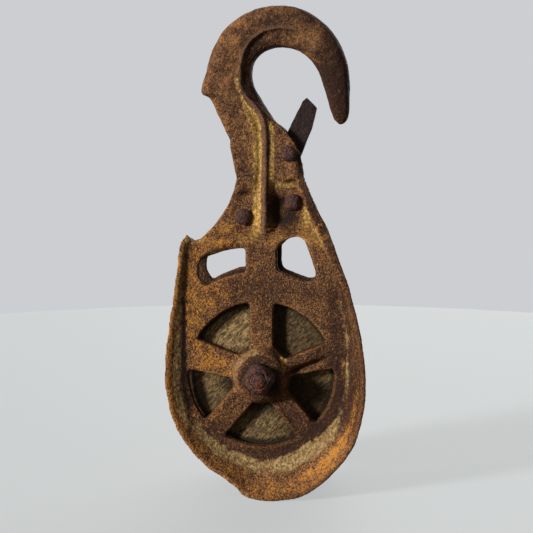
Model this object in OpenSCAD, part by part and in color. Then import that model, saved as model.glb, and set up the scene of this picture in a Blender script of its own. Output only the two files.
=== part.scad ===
// Barn pulley: two riveted iron castings carry a wooden rope wheel and end in a latched hook.
// X is to the right, Y runs away from the front, Z is up. The origin is the hook's seat.

/* [Castings] */
// Space between the two castings at the wheel
cheek_gap = 40; // [39.2:0.2:46]
// Thickness of a casting's plate
plate_t = 5; // [4:0.5:7]
// Half the thickness of the neck, where the castings meet
neck_t = 7; // [6:0.5:8]
// How far the rope guard stands in front of the plate
guard_h = 23; // [21.5:0.5:27]
// Thickness of the rope guard's wall
guard_t = 3; // [2.5:0.25:4]
// Share of its flare that the back guard keeps at the upper right
back_flare = 0.55; // [0.5:0.05:1]
// Outer radius of the ring of spoked windows
window_r = 56.5; // [50:0.5:57]
// Radius at which the five spokes begin
hub_r = 24; // [23.5:0.5:30]
// Radius of the arc under the two upper windows
upper_window_r = 81; // [78:0.5:86]
// Rounding of the windows' corners
window_round = 2.5; // [1:0.5:4]
// Radius of the boss at the plate
boss_base_r = 23; // [21.5:0.5:23.5]
// Radius of the boss at its face
boss_face_r = 20.5; // [18:0.5:21]
// Height of the boss in front of the plate
boss_h = 12; // [9:0.5:12.5]
// Height of the ridges on the spokes
ridge_h = 2.5; // [1.5:0.5:4]

/* [Hook] */
// Half the thickness of the hook at its crown
hook_t = 12; // [10:0.5:14]
// Height of the bead along the neck, from the middle plane
bead_h = 12; // [11:0.5:15]
// Half the width of the bead
bead_w = 3.5; // [3:0.5:4.5]
// Height of the raised web beside the bead, from the middle plane
web_h = 10; // [8.5:0.5:10.5]
// Height of the pad round the latch rivet, from the middle plane
pad_h = 11; // [10:0.5:13]

/* [Latch] */
// Thickness of the latch
latch_t = 7; // [5:0.5:8]
// Space between the latch and each side of its slot
latch_play = 0.5; // [0.3:0.1:0.8]
// Length of the latch from its pivot to its inner corner
latch_l = 44.5; // [38:0.5:45]
// Radius of the latch's eye
latch_eye_r = 8.8; // [8:0.1:9.2]
// Lean of the latch from upright, as it is found
latch_lean = 26.6; // [20:0.2:30]
// Width of the latch's blunt end
latch_end_w = 10.6; // [8:0.2:12]
// Length of the latch's blunt end, from its inner corner down to where its right side narrows
latch_end_l = 19.5; // [15:0.5:22]
// Diameter of the latch rivet's shank
latch_rivet_d = 8; // [6:0.5:9]
// Diameter of the latch rivet's heads
latch_head_d = 12; // [11:0.5:14]
// Height of the latch rivet's heads
latch_head_h = 3; // [2:0.5:4]

/* [Frame rivets] */
// Diameter of the frame rivets' shanks
frame_rivet_d = 8; // [6:0.5:9]
// Diameter of the frame rivets' heads
frame_head_d = 13; // [11:0.5:15]
// Height of the frame rivets' heads
frame_head_h = 4.5; // [3:0.5:6]

/* [Axle] */
// Diameter of the axle bolt
bolt_d = 12.7; // [11:0.1:13.5]
// Outer diameter of the sleeve that the wheel turns on
sleeve_d = 19; // [17:0.5:21]
// Size of the square nut and bolt head across their flats
nut_af = 21; // [19:0.5:22]
// Thickness of the nut
nut_h = 12; // [10:0.5:14]
// Thickness of the bolt's head
bolt_head_h = 9; // [7:0.5:9.5]
// How far the bolt's end stands out of the nut
bolt_end = 4; // [2:0.5:6]
// Turn of the nut from square
nut_turn = 55; // [0:5:90]

/* [Wheel] */
// Diameter of the wooden wheel
sheave_d = 114; // [104:1:116]
// Width of the wooden wheel
sheave_w = 32; // [30:0.5:37]
// Radius of the rope groove
groove_r = 12.5; // [9:0.5:13]
// Depth of the rope groove below the wheel's rim
groove_depth = 15; // [12:0.5:18]
// Width of the flat rim on each side of the rope groove
rim_lip = 2; // [1:0.5:3]
// Radius of the iron bush inside the wood
bush_r = 13; // [12:0.5:14.5]
// Radius of the bush's flanges
bush_flange_r = 20.5; // [19:0.5:22]
// How deep the bush's flanges are let into the wood
bush_let_in = 1; // [0.5:0.5:2]
// Diameter of the rivets that hold the flanges
bush_rivet_d = 4.5; // [3:0.5:5]

/* [Fits] */
// Radial space between the wheel's bush and the sleeve
running_fit = 0.08; // [0.04:0.01:0.1]
// Radial space round the axle bolt
bolt_fit = 0.1; // [0.05:0.05:0.3]
// Radial space between the latch and its rivet
latch_fit = 0.1; // [0.05:0.01:0.1]
// End play of the wheel against each casting
end_play = 0.3; // [0.2:0.05:0.4]

/* [Hidden] */
$fn = 64;
// The axle's centre, seen from the hook's seat
axle_at = [-14, -252];
// Centres of the rivets, from the axle
left_rivet_at = [-15.2, 121.3];
right_rivet_at = [23.5, 133];
latch_pivot = [20.2, 170.7];
// The outer face of a casting's plate, from the middle plane
plate_face = cheek_gap / 2 + plate_t;
// Lean of the latch when it is pushed fully into the hook, and when it is shut on the tip
latch_in = -3.4;
latch_out = 54;
// Heights over which the casting draws in from the plate to the neck, and the rounding at both ends
shoulder_low = 102;
shoulder_high = 117;
shoulder_round = 3;
// Longer than a casting reaches from the axle in any direction
reach = 320;
// Slope of the latch's corners: how far each is cut along its side and its end
latch_corner = [1.5, 4];
// Outlines of the two ridges on the right spoke, with a groove between them, and of the one
// on the lower right spoke
ridge_outlines = [
    [[16, 15], [48, 26.5], [51, 16.5], [22, 9]],
    [[20, 5], [52, 10.5], [53, 8], [20, 2.5]],
    [[13, -20], [31, -42], [34, -39], [17, -17]]];
// How far the slot reaches above the latch's pivot, and past it on the right
slot_top = 30;
slot_side = 14;
// Room left round a rivet's head in its pocket, and round the latch in its slot
pocket_room = 2;
slot_room = 0.8;
// Directions and widths of the five spokes: angle, width at the hub, width at the ring
spokes = [[89.5, 19.5, 19.5], [164.5, 20.5, 26], [230, 20.5, 20], [309, 17.5, 19], [16.5, 16, 23.5]];
iron = [0.36, 0.22, 0.16];
dark_iron = [0.22, 0.15, 0.13];
wood = [0.55, 0.48, 0.37];

// Cross-sections of the hook from the neck to the tip: its inner side, its outer side and
// the share of its full thickness
hook_sections = [
    [7, 198, -35, 201, 0.7], [-1.5, 211.5, -41.6, 212.7, 0.85], [-7.5, 223, -48.4, 218.2, 0.95],
    [-9, 233, -43.5, 234, 1], [-7, 241, -38, 251, 1], [-1, 247.5, -27, 267.5, 1],
    [7, 251.3, -7, 279.5, 1], [16, 252, 13, 283.3, 1], [25, 250.2, 29, 281.3, 1],
    [33, 245.5, 43.3, 272.8, 1], [39.5, 238.3, 54.6, 260.3, 0.97], [43.8, 230, 62, 245.5, 0.92],
    [47, 220.5, 66, 230, 0.84], [50, 210.5, 66, 213, 0.72], [52.8, 202, 65.3, 202.5, 0.58],
    [55.3, 196.5, 63.5, 196.3, 0.42], [58.6, 193.2, 60.8, 193.1, 0.16]];

// The rope guard from its left horn round the foot to the neck: where it leaves the plate,
// its edge, the share of its full height and how many times its normal wall it is thick
guard_sections = [
    [-51.5, 103, -54.4, 111.2, 0.36, 1], [-54.5, 98, -60, 101.5, 0.38, 1], [-57, 83, -63, 84, 0.42, 1],
    [-58, 64, -66, 65, 0.5, 1], [-58.2, 42, -69.4, 43, 0.58, 1], [-58.2, 20, -72, 21, 0.65, 1],
    [-58, 2, -73, 3, 0.72, 1], [-56.6, -15, -71, -16, 0.82, 1], [-52.3, -30.5, -66.4, -33, 0.9, 1],
    [-46, -42, -58.8, -46.5, 0.97, 1], [-37, -51, -49, -59, 1, 1], [-28, -58, -38.2, -68.7, 1, 1],
    [-21, -62, -29, -75.6, 1, 1], [-15.5, -64, -22.4, -80, 1, 1], [-11, -65.3, -16.6, -86.2, 1, 1],
    [-5, -66.5, -9.8, -91.2, 1, 1], [3, -67, 1.8, -93.9, 1, 1], [12, -66.3, 13, -93.6, 1, 1],
    [21, -63.8, 26, -90.3, 1, 1], [32.5, -58.3, 41, -83.8, 1, 1], [43.5, -49.5, 55.8, -73.8, 1, 1],
    [53, -38, 68.8, -59, 1, 1], [59.5, -24, 77, -41.8, 1, 1.1], [63.2, -7, 81.6, -18, 1, 1.2],
    [64.2, 9, 81.8, 4, 0.95, 1.3], [63.9, 26, 79.7, 24, 0.82, 1.4], [62.5, 42, 76, 42.5, 0.62, 1.5],
    [59.8, 58, 71.8, 58.5, 0.45, 1.7], [56, 74, 66.4, 75.5, 0.33, 2], [51.3, 90, 60.3, 91.5, 0.24, 2.3],
    [45.5, 104, 54.5, 106, 0.2, 2.6], [37.5, 118, 47.6, 119.5, 0.2, 2.8],
    [32, 131, 40.8, 131.5, 0.2, 2.8], [27.5, 145, 35, 145, 0.2, 2.4],
    [25.3, 153, 32.4, 153, 0.18, 2.3], [24.5, 160, 30.8, 161.5, 0.14, 2]];

// The neck's left side and top, from the guard's horn up to the hook and down to the latch's ear
neck_outline = [
    [-48.5, 105], [-42.2, 109.5], [-35, 118], [-27.6, 129], [-22.4, 141], [-20.6, 151],
    [-22.9, 163.3], [-25.5, 175.8], [-25.2, 181], [-31.3, 192.6], [-36, 203], [-38, 211],
    [-12, 214], [-3, 208], [5, 199], [11.5, 193.5], [16.8, 189.4], [25.5, 178], [29.6, 168.5]];

// The bead from the hook down the neck: its place, its half width and its height, as shares
bead_sections = [
    [-16.5, 233, 0.9, 0.8], [-14.5, 222, 1.1, 0.95], [-9.2, 211.5, 1.1, 1], [-3.5, 204.5, 1, 1],
    [0.7, 196, 1, 1], [2.2, 186, 1, 1], [2.4, 172, 1, 1], [2.2, 155, 1, 1], [1.8, 138, 1, 1],
    [1.6, 124, 1, 1], [1.5, 115, 1.1, 1.15], [1.5, 106, 1.3, 1.7]];

// The raised web left of the bead, and the pad on which the latch rivet bears
web_outline = [
    [-21.2, 139.6], [-7, 145.8], [-5, 158], [-4.6, 178], [-6.5, 191], [-11, 201], [-17, 210],
    [-20, 221], [-38, 219], [-39, 210], [-36, 203], [-31.3, 192.6], [-25.2, 181], [-25.5, 175.8],
    [-22.9, 163.3], [-20.6, 151]];
pad_outline = [
    [9.6, 153], [9.6, 189], [12, 193], [16.8, 189.4], [25.5, 178], [29.6, 168.5], [31, 160.5],
    [27, 153], [16, 150.5]];

// The upper windows, with the arc under the left one worked out
left_window = concat(
    [for (a = [122.5:-6:98.5]) upper_window_r * [cos(a), sin(a)]],
    [[-12, 98.6], [-29.3, 95.8], [-41, 92], [-47.8, 87], [-48.2, 76.5]]);
right_window = [
    [12.7, 97.5], [12.6, 84], [13.8, 79.2], [17, 77], [26, 73.4], [34, 70.4], [38.7, 70.6],
    [41.9, 74.2], [41.6, 79],
    [36.5, 97], [33.1, 104.9], [27.5, 107.4], [20.7, 105.9]];

// What the back casting lacks at its left shoulder, where its guard has no horn
back_shoulder = [[-80, 96], [-52, 96], [-43, 101], [-36, 108], [-31, 116], [-40, 125], [-80, 125]];

function at(p, i) = p[max(0, min(len(p) - 1, i))];

// A point of the smooth curve that runs through all stations of p
function curve_point(p, i, t) =
    let(a = at(p, i - 1), b = at(p, i), c = at(p, i + 1), d = at(p, i + 2))
    0.5 * (2 * b + (c - a) * t + (2 * a - 5 * b + 4 * c - d) * t * t
        + (3 * b - 3 * c + d - a) * t * t * t);
function curve(p, n) = concat(
    [for (i = [0:len(p) - 2]) for (k = [0:n - 1]) curve_point(p, i, k / n)], [p[len(p) - 1]]);

// Depth of a casting's front and back faces before the middle plane, at height z
function outer_depth(z) = lookup(z, [
    [shoulder_low, plate_face], [shoulder_low + shoulder_round, plate_face - 2],
    [shoulder_high - shoulder_round, neck_t + 2], [shoulder_high, neck_t]]);
function inner_depth(z) = lookup(z, [
    [shoulder_low - 4, cheek_gap / 2], [shoulder_low - 4 + shoulder_round, cheek_gap / 2 - 2],
    [shoulder_high - 4 - shoulder_round, 2], [shoulder_high - 4, 0]]);

// One ring of the hook: half an oval with its flat side on the middle plane
function hook_ring(s) = [for (k = [0:10])
    let(u = -cos(18 * k), inner = [s[0], s[1]], outer = [s[2], s[3]],
        p = (inner + outer) / 2 + (outer - inner) / 2 * u)
    [p[0], -hook_t * s[4] * pow(max(0, 1 - pow(abs(u), 2.6)), 1 / 2.6), p[1]]];

// The guard's sections along its whole run, with the flare at the upper right cut to a share
function guard_rows(flare) = [for (s = curve(guard_sections, 2))
    let(k = s[0] > 0 ? lookup(s[1], [[-30, 1], [60, flare]]) : 1)
    [s[0], s[1], s[0] + (s[2] - s[0]) * k, s[1] + (s[3] - s[1]) * k, s[4], s[5]]];

// One ring of the rope guard: a curved wall that leaves the plate and ends in a flat edge.
// Its full height is a little over guard_h, which the casting is then cut flat to
function guard_ring(s) =
    let(b = [s[0], s[1]], e = [s[2], s[3]], w = norm(e - b), d = (e - b) / w,
        wall = min(guard_t * s[5], w - 0.4), face = outer_depth(s[1]), rise = (guard_h + 1) * s[4],
        skin = face - inner_depth(s[1]) - 0.2, run = w - wall)
    [for (q = [[-2, -skin], [wall, -skin], [0.55 * run + wall, 0.32 * rise - 0.5], [w, rise],
            [run, rise], [0.55 * run, 0.32 * rise], [0, 0], [-2, -0.3]])
        [b[0] + d[0] * q[0], -(face + q[1]), b[1] + d[1] * q[0]]];

// One ring of the bead, across its run
function bead_ring(p, i) =
    let(s = p[i], along = at(p, i + 1) - at(p, i - 1), d = [along[1], -along[0]] / norm([along[0], along[1]]))
    [for (q = [[1.4, 0.3], [0.8, 0.85], [0.35, 1], [-0.35, 1], [-0.8, 0.85], [-1.4, 0.3]])
        [s[0] + d[0] * bead_w * s[2] * q[0], -bead_h * s[3] * q[1], s[1] + d[1] * bead_w * s[2] * q[0]]];

// Skins a row of equal rings and closes both ends
module sweep(rings) {
    n = len(rings[0]);
    last = (len(rings) - 1) * n;
    sides = [for (j = [0:len(rings) - 2]) for (i = [0:n - 1])
        let(a = j * n + i, b = j * n + (i + 1) % n) each [[a, b, b + n], [a, b + n, a + n]]];
    caps = [for (i = [0:floor(n / 2) - 1]) if (n - 2 - i > i + 1 || n - 1 - i > i + 1)
        each (n - 2 - i > i + 1
            ? [[i, n - 2 - i, i + 1], [i, n - 1 - i, n - 2 - i]] : [[i, n - 1 - i, i + 1]])];
    ends = concat(caps, [for (c = caps) [c[0] + last, c[2] + last, c[1] + last]]);
    polyhedron([for (r = rings) each r], concat(sides, ends));
}

// Moves a piece from the axle's frame to the hook's seat
module from_axle() {
    translate([axle_at[0], 0, axle_at[1]]) children();
}

// An outline in X and Z that fills the depths from a to b in front of the middle plane
module slab(a, b) {
    translate([0, -a, 0]) rotate([90, 0, 0]) linear_extrude(b - a) children();
}

// A round bar or cone along Y, from depth a to depth b in front of the middle plane
module bar(a, b, r1, r2) {
    translate([0, -a, 0]) rotate([90, 0, 0]) cylinder(h = b - a, r1 = r1, r2 = r2);
}

// A low domed rivet head on a face at the given depth
module rivet_head(face, d, h) {
    ball = (d * d / 4 + h * h) / (2 * h);
    intersection() {
        bar(face, face + h + 1, d / 2, d / 2);
        translate([0, -(face + h - ball), 0]) sphere(r = ball);
    }
}

// A rivet with two heads on faces at the same depth either side of the middle plane
module rivet(face, shank_d, head_d, head_h) {
    bar(-face, face, shank_d / 2, shank_d / 2);
    rivet_head(face, head_d, head_h);
    mirror([0, 1, 0]) rivet_head(face, head_d, head_h);
}

// The outline of the plate and neck together. Round the guard it runs inside the guard's wall,
// with its corners between those of the wall
module cheek_outline(rows) {
    edge = [for (i = [0:len(rows) - 2])
        let(s = (rows[i] + rows[i + 1]) / 2, b = [s[0], s[1]], e = [s[2], s[3]], w = norm(e - b))
        b + (e - b) / w * min(guard_t * s[5], w - 0.4) * 0.6];
    polygon(concat(neck_outline, [for (i = [len(edge) - 1:-1:0]) edge[i]]));
}

// The casting's outline seen from the side, drawn in depth and height
module side_outline() {
    low = shoulder_low;
    high = shoulder_high;
    turn = shoulder_round;
    outer = [-reach, low, low + turn, high - turn, high, reach];
    inner = [reach, high - 4, high - 4 - turn, low - 4 + turn, low - 4, -reach];
    polygon(concat([for (z = outer) [-outer_depth(z), z]], [for (z = inner) [-inner_depth(z), z]]));
}

module spoke_shape(s) {
    rotate(s[0]) polygon([[0, -s[1] / 2], [hub_r, -s[1] / 2], [window_r + 2, -s[2] / 2],
        [window_r + 2, s[2] / 2], [hub_r, s[1] / 2], [0, s[1] / 2]]);
}

module windows() {
    offset(r = window_round, $fn = 16) offset(delta = -window_round) {
        difference() {
            circle(window_r, $fn = 72);
            circle(hub_r, $fn = 48);
            for (s = spokes) spoke_shape(s);
        }
        polygon(left_window);
        polygon(right_window);
    }
}

// The space in the middle plane through which the latch swings: its left wall stops the latch
// when it is pushed into the hook, and its floor lies under the closed latch
module latch_slot() {
    r = latch_eye_r + slot_room;
    translate(latch_pivot) {
        circle(r);
        rotate(-latch_in) translate([-r - 0.2, -3]) square([2 * r + slot_side, slot_top]);
        rotate(-latch_out) translate([-r + 1, -2]) square([2 * r - 0.8, slot_side]);
    }
}

module spoke_ridges() {
    slab(plate_face - 1, plate_face + ridge_h) for (p = ridge_outlines) polygon(p);
}

// The front casting; the back one is its mirror image, with less of a guard at the top
module casting(flare) {
    rows = guard_rows(flare);
    difference() {
        union() {
            intersection() {
                slab(-1, plate_face + 1) cheek_outline(rows);
                translate([-reach, 0, 0]) rotate([90, 0, 90]) linear_extrude(2 * reach) side_outline();
            }
            sweep([for (s = rows) guard_ring(s)]);
            sweep([for (s = curve(hook_sections, 3)) hook_ring(s)]);
            let(p = curve(bead_sections, 2)) sweep([for (i = [0:len(p) - 1]) bead_ring(p, i)]);
            slab(1, web_h) polygon(web_outline);
            slab(1, pad_h) polygon(pad_outline);
            bar(plate_face - 1, plate_face, boss_base_r, boss_base_r);
            bar(plate_face, plate_face + boss_h, boss_base_r, boss_face_r);
            spoke_ridges();
        }
        slab(plate_face + guard_h, plate_face + guard_h + 5) square(2 * reach, center = true);
        slab(4, plate_face + guard_h + 1) windows();
        bar(-1, plate_face + boss_h + 1, bolt_d / 2 + bolt_fit, bolt_d / 2 + bolt_fit);
        slab(-1, latch_t / 2 + latch_play) latch_slot();
        translate([latch_pivot[0], 0, latch_pivot[1]])
            bar(-1, hook_t * 2, latch_rivet_d / 2 + bolt_fit, latch_rivet_d / 2 + bolt_fit);
        for (p = [left_rivet_at, right_rivet_at]) translate([p[0], 0, p[1]]) {
            bar(-1, neck_t + 1, frame_rivet_d / 2 + bolt_fit, frame_rivet_d / 2 + bolt_fit);
            bar(neck_t, plate_face, frame_head_d / 2 + pocket_room, frame_head_d / 2 + pocket_room);
        }
    }
}

module front_cheek() {
    color(iron) from_axle() casting(1);
}

module back_cheek() {
    color(iron) from_axle() mirror([0, 1, 0]) difference() {
        casting(back_flare);
        slab(0, plate_face + guard_h + 1) polygon(back_shoulder);
    }
}

module sheave() {
    half = sheave_w / 2;
    rim = sheave_d / 2;
    bed = rim - groove_depth;
    seat = half - bush_let_in;
    lip = half - rim_lip;
    color(wood) from_axle() rotate([90, 0, 0]) difference() {
        rotate_extrude($fn = 96) difference() {
            translate([bush_r, -half]) square([rim - bush_r, sheave_w]);
            translate([bed + groove_r, 0]) circle(groove_r, $fn = 48);
            polygon([[bed + groove_r, -groove_r], [rim + 1, -lip], [rim + 1, lip],
                [bed + groove_r, groove_r]]);
        }
        for (s = [-1, 1]) translate([0, 0, s > 0 ? seat : -half - 1])
            cylinder(h = half + 1 - seat, r = bush_flange_r + bolt_fit);
        bush_rivet_places() translate([0, 0, -half]) cylinder(h = sheave_w, r = bush_rivet_d / 2);
    }
}

// The three places of the rivets through the bush's flanges
module bush_rivet_places() {
    for (a = [0, 120, 240]) rotate(a + 30) translate([(bush_r + bush_flange_r) / 2, 0, 0]) children();
}

// Half of the wheel's bush: a flange let into the wood and a barrel that reaches its middle
module bush_half() {
    top = cheek_gap / 2 - end_play;
    seat = sheave_w / 2 - bush_let_in;
    difference() {
        union() {
            translate([0, 0, seat]) cylinder(h = top - seat, r = bush_flange_r);
            cylinder(h = top, r = bush_r);
        }
        translate([0, 0, -1]) cylinder(h = top + 2, r = sleeve_d / 2 + running_fit);
        bush_rivet_places() cylinder(h = top + 1, r = bush_rivet_d / 2);
    }
}

module front_bush() {
    color(dark_iron) from_axle() rotate([90, 0, 0]) bush_half();
}

module back_bush() {
    color(dark_iron) from_axle() mirror([0, 1, 0]) rotate([90, 0, 0]) bush_half();
}

module bush_rivets() {
    reach = cheek_gap / 2 - end_play - 0.2;
    color(dark_iron) from_axle() rotate([90, 0, 0]) bush_rivet_places()
        translate([0, 0, -reach]) cylinder(h = 2 * reach, r = bush_rivet_d / 2);
}

module axle_sleeve() {
    color(dark_iron) from_axle() rotate([90, 0, 0]) difference() {
        cylinder(h = cheek_gap, r = sleeve_d / 2, center = true);
        cylinder(h = cheek_gap + 2, r = bolt_d / 2 + bolt_fit, center = true);
    }
}

// A square block along Y, its edges turned down on the outer side
module square_block(a, b) {
    rotate([0, -nut_turn, 0]) intersection() {
        translate([-nut_af / 2, -b, -nut_af / 2]) cube([nut_af, b - a, nut_af]);
        bar(a, b, nut_af / 2 * 1.41 + (b - a) * 0.9, nut_af / 2 * 0.96);
    }
}

module axle_bolt() {
    seat = plate_face + boss_h;
    color(dark_iron) from_axle() {
        bar(-seat - 1, seat + nut_h + bolt_end - 1, bolt_d / 2, bolt_d / 2);
        bar(seat + nut_h + bolt_end - 1, seat + nut_h + bolt_end, bolt_d / 2, bolt_d / 2 - 1);
        mirror([0, 1, 0]) square_block(seat, seat + bolt_head_h);
    }
}

module axle_nut() {
    seat = plate_face + boss_h;
    color(dark_iron) from_axle() difference() {
        square_block(seat, seat + nut_h);
        bar(seat - 1, seat + nut_h + 1, bolt_d / 2 + bolt_fit, bolt_d / 2 + bolt_fit);
    }
}

module left_frame_rivet() {
    color(dark_iron) from_axle() translate([left_rivet_at[0], 0, left_rivet_at[1]])
        rivet(neck_t, frame_rivet_d, frame_head_d, frame_head_h);
}

module right_frame_rivet() {
    color(dark_iron) from_axle() translate([right_rivet_at[0], 0, right_rivet_at[1]])
        rivet(neck_t, frame_rivet_d, frame_head_d, frame_head_h);
}

module latch() {
    color(dark_iron) from_axle() translate([latch_pivot[0], 0, latch_pivot[1]]) difference() {
        rotate([0, latch_lean, 0]) union() {
            bar(-latch_t / 2, latch_t / 2, latch_eye_r, latch_eye_r);
            slab(-latch_t / 2, latch_t / 2) polygon([
                [-latch_eye_r, 0], [-latch_eye_r, latch_l - latch_corner[1]],
                [latch_corner[0] - latch_eye_r, latch_l],
                [latch_corner[0] - latch_eye_r + latch_end_w, latch_l - 3.6],
                [latch_eye_r - 1.9, latch_l - latch_end_l], [latch_eye_r, 3]]);
        }
        bar(-latch_t, latch_t, latch_rivet_d / 2 + latch_fit, latch_rivet_d / 2 + latch_fit);
    }
}

module latch_rivet() {
    color(dark_iron) from_axle() translate([latch_pivot[0], 0, latch_pivot[1]])
        rivet(pad_h, latch_rivet_d, latch_head_d, latch_head_h);
}

front_cheek();
back_cheek();
sheave();
front_bush();
back_bush();
bush_rivets();
axle_sleeve();
axle_bolt();
axle_nut();
left_frame_rivet();
right_frame_rivet();
latch();
latch_rivet();
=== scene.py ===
import math
import bmesh
import bpy
import numpy as np
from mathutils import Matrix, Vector


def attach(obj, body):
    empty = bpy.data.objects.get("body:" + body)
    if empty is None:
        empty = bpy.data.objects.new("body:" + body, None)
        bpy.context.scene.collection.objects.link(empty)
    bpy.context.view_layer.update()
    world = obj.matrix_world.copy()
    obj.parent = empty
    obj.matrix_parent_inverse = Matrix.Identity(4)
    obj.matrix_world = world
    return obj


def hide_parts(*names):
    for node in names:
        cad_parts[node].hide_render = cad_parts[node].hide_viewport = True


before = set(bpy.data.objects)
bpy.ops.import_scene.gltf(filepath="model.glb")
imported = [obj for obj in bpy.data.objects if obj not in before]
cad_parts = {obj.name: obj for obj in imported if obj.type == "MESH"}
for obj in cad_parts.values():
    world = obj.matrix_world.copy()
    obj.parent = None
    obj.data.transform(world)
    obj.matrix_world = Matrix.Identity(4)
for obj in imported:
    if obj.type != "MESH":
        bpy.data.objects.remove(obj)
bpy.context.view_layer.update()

# All shapes are worked out in millimetres seen from the axle: x to the right, z up, and depth
# towards the viewer for the front casting. toFrame() brings them to metres in the CAD frame
axleAt = (-14.0, -252.0)
latchPivot = (20.2, 170.7)
plateFace = 25.0
neckFace = 7.0
# How far past its ends a run of stations is followed
farOff = 6
cubeCorners = [(i, j, k) for i in (0, 1) for j in (0, 1) for k in (0, 1)]


def log(text):
    print("pulley:", text)


def linear(r, g, b):
    # A screen colour from 0 to 255 turned into the linear colour that the shaders use
    c = np.array([r, g, b], float) / 255
    c = np.where(c <= 0.04045, c / 12.92, ((c + 0.055) / 1.055) ** 2.4)
    return (float(c[0]), float(c[1]), float(c[2]), 1.0)


def toFrame(x, depth, z, mirror=1):
    # Axle coordinates in mm to frame coordinates in m; depth points to -Y, or to +Y when mirrored
    return np.stack([(x + axleAt[0]) / 1000, -mirror * depth / 1000, (z + axleAt[1]) / 1000], -1)


def makeMesh(name, points, faces, smooth=True):
    # A mesh object with the rows of points as vertices and the lists of numbers in faces as faces
    mesh = bpy.data.meshes.new(name)
    mesh.from_pydata(points.tolist(), [], faces)
    mesh.validate()
    mesh.polygons.foreach_set("use_smooth", np.full(len(mesh.polygons), smooth))
    mesh.update()
    piece = bpy.data.objects.new(name, mesh)
    bpy.context.scene.collection.objects.link(piece)
    return piece


def addAttribute(piece, name, values):
    layer = piece.data.attributes.new(name, "FLOAT", "POINT")
    layer.data.foreach_set("value", values.astype(np.float32))


def smoothstep(low, high, x):
    t = np.clip((x - low) / (high - low), 0, 1)
    return t * t * (3 - 2 * t)


def dimple(x, z, centre, size):
    # 1 round the centre and 0 outside an ellipse: exp(-(dx^2 + dz^2)^2), counted in half sizes
    return np.exp(-(((x - centre[0]) / size[0]) ** 2 + ((z - centre[1]) / size[1]) ** 2) ** 2)


def smoothMax(a, b, k):
    # The larger of two fields, with a quadratic blend where they are closer than k
    h = np.clip(0.5 + 0.5 * (a - b) / k, 0, 1)
    return b + (a - b) * h + k * h * (1 - h)


def smoothMin(a, b, k):
    return -smoothMax(-a, -b, k)


def curveThrough(rows, steps):
    # Catmull-Rom curve through the rows, with the given number of steps between neighbours
    p = np.asarray(rows, float)
    p = np.vstack([p[:1], p, p[-1:]])
    t = np.arange(steps)[None, :, None] / steps
    a, b, c, d = (p[k:len(p) - 3 + k, None, :] for k in range(4))
    q = 0.5 * (2 * b + (c - a) * t + (2 * a - 5 * b + 4 * c - d) * t ** 2
               + (3 * b - 3 * c + d - a) * t ** 3)
    return np.vstack([q.reshape(-1, p.shape[1]), p[-1:]])


def lineDistance(px, pz, line, closed=False):
    # Distance from each point to the nearest segment of a line
    a = np.asarray(line, float)
    b = np.roll(a, -1, 0) if closed else a[1:]
    a = a if closed else a[:-1]
    ab = b - a
    size = np.maximum((ab ** 2).sum(1), 1e-9)
    rx, rz = px[..., None] - a[:, 0], pz[..., None] - a[:, 1]
    t = np.clip((rx * ab[:, 0] + rz * ab[:, 1]) / size, 0, 1)
    return np.sqrt(((rx - ab[:, 0] * t) ** 2 + (rz - ab[:, 1] * t) ** 2).min(-1))


def outlineDistance(px, pz, outline):
    # Signed distance to a closed outline, negative inside: the sign comes from counting the
    # edges that a ray to the right crosses
    a = np.asarray(outline, float)
    b = np.roll(a, -1, 0)
    d = lineDistance(px, pz, a, True)
    z, x = pz[..., None], px[..., None]
    spans = (a[:, 1] > z) != (b[:, 1] > z)
    rise = np.where(np.abs(b[:, 1] - a[:, 1]) < 1e-9, 1e-9, b[:, 1] - a[:, 1])
    hits = spans & (x < a[:, 0] + (z - a[:, 1]) / rise * (b[:, 0] - a[:, 0]))
    return np.where(hits.sum(-1) % 2 == 1, -d, d)


def soften(field, times):
    # Repeated 1-2-1 average along both axes, which rounds the corners of a flat outline
    for _ in range(times):
        for axis in (0, 1):
            pad = np.pad(field, [(1, 1) if k == axis else (0, 0) for k in (0, 1)], mode="edge")
            field = 0.25 * np.take(pad, range(0, field.shape[axis]), axis) \
                + 0.5 * field + 0.25 * np.take(pad, range(2, field.shape[axis] + 2), axis)
    return field


def stationMap(px, pz, rows):
    # Rows hold an inner and an outer point. For each point: its station, counted in rows, its
    # distance from the inner line towards the outer one, and how far it lies past the nearer end
    # of the run, negative beside it. It is between two rows where its side of their lines changes
    base, edge = rows[:, 0:2], rows[:, 2:4]
    width = np.hypot(edge[:, 0] - base[:, 0], edge[:, 1] - base[:, 1])
    way = (edge - base) / width[:, None]
    rx, rz = px[:, None] - base[:, 0], pz[:, None] - base[:, 1]
    along = rx * way[:, 0] + rz * way[:, 1]
    side = rx * way[:, 1] - rz * way[:, 0]
    share = along / width
    middle = 0.5 * (share[:, :-1] + share[:, 1:])
    cost = np.where(side[:, :-1] * side[:, 1:] <= 0, np.abs(middle - 0.5), 99)
    pick = cost.argmin(1)
    rowsOf = np.arange(len(px))
    a, b = side[rowsOf, pick], side[rowsOf, pick + 1]
    t = np.clip(a / np.where(np.abs(a - b) < 1e-9, 1e-9, a - b), 0, 1)
    run = along[rowsOf, pick] * (1 - t) + along[rowsOf, pick + 1] * t
    at = pick + t
    found = cost[rowsOf, pick] < 2.0
    past = np.full(len(px), 9.0)
    middles = 0.5 * (base + edge)
    for end, inward in ((0, 1), (len(rows) - 1, len(rows) - 2)):
        step = middles[inward] - middles[end]
        sign = np.sign(step[0] * way[end, 1] - step[1] * way[end, 0])
        beyond = -sign * side[:, end]
        close = np.hypot(px - middles[end, 0], pz - middles[end, 1]) < width[end] + 6
        past = np.where(close & found, np.maximum(np.where(past > 8, -9, past), beyond), past)
        outside = close & ~found & (beyond > -0.5)
        at, run = np.where(outside, end, at), np.where(outside, along[:, end], run)
        past = np.where(outside, beyond, past)
    past = np.where(found & (past > 8), -9, past)
    return at, run, past


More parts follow.
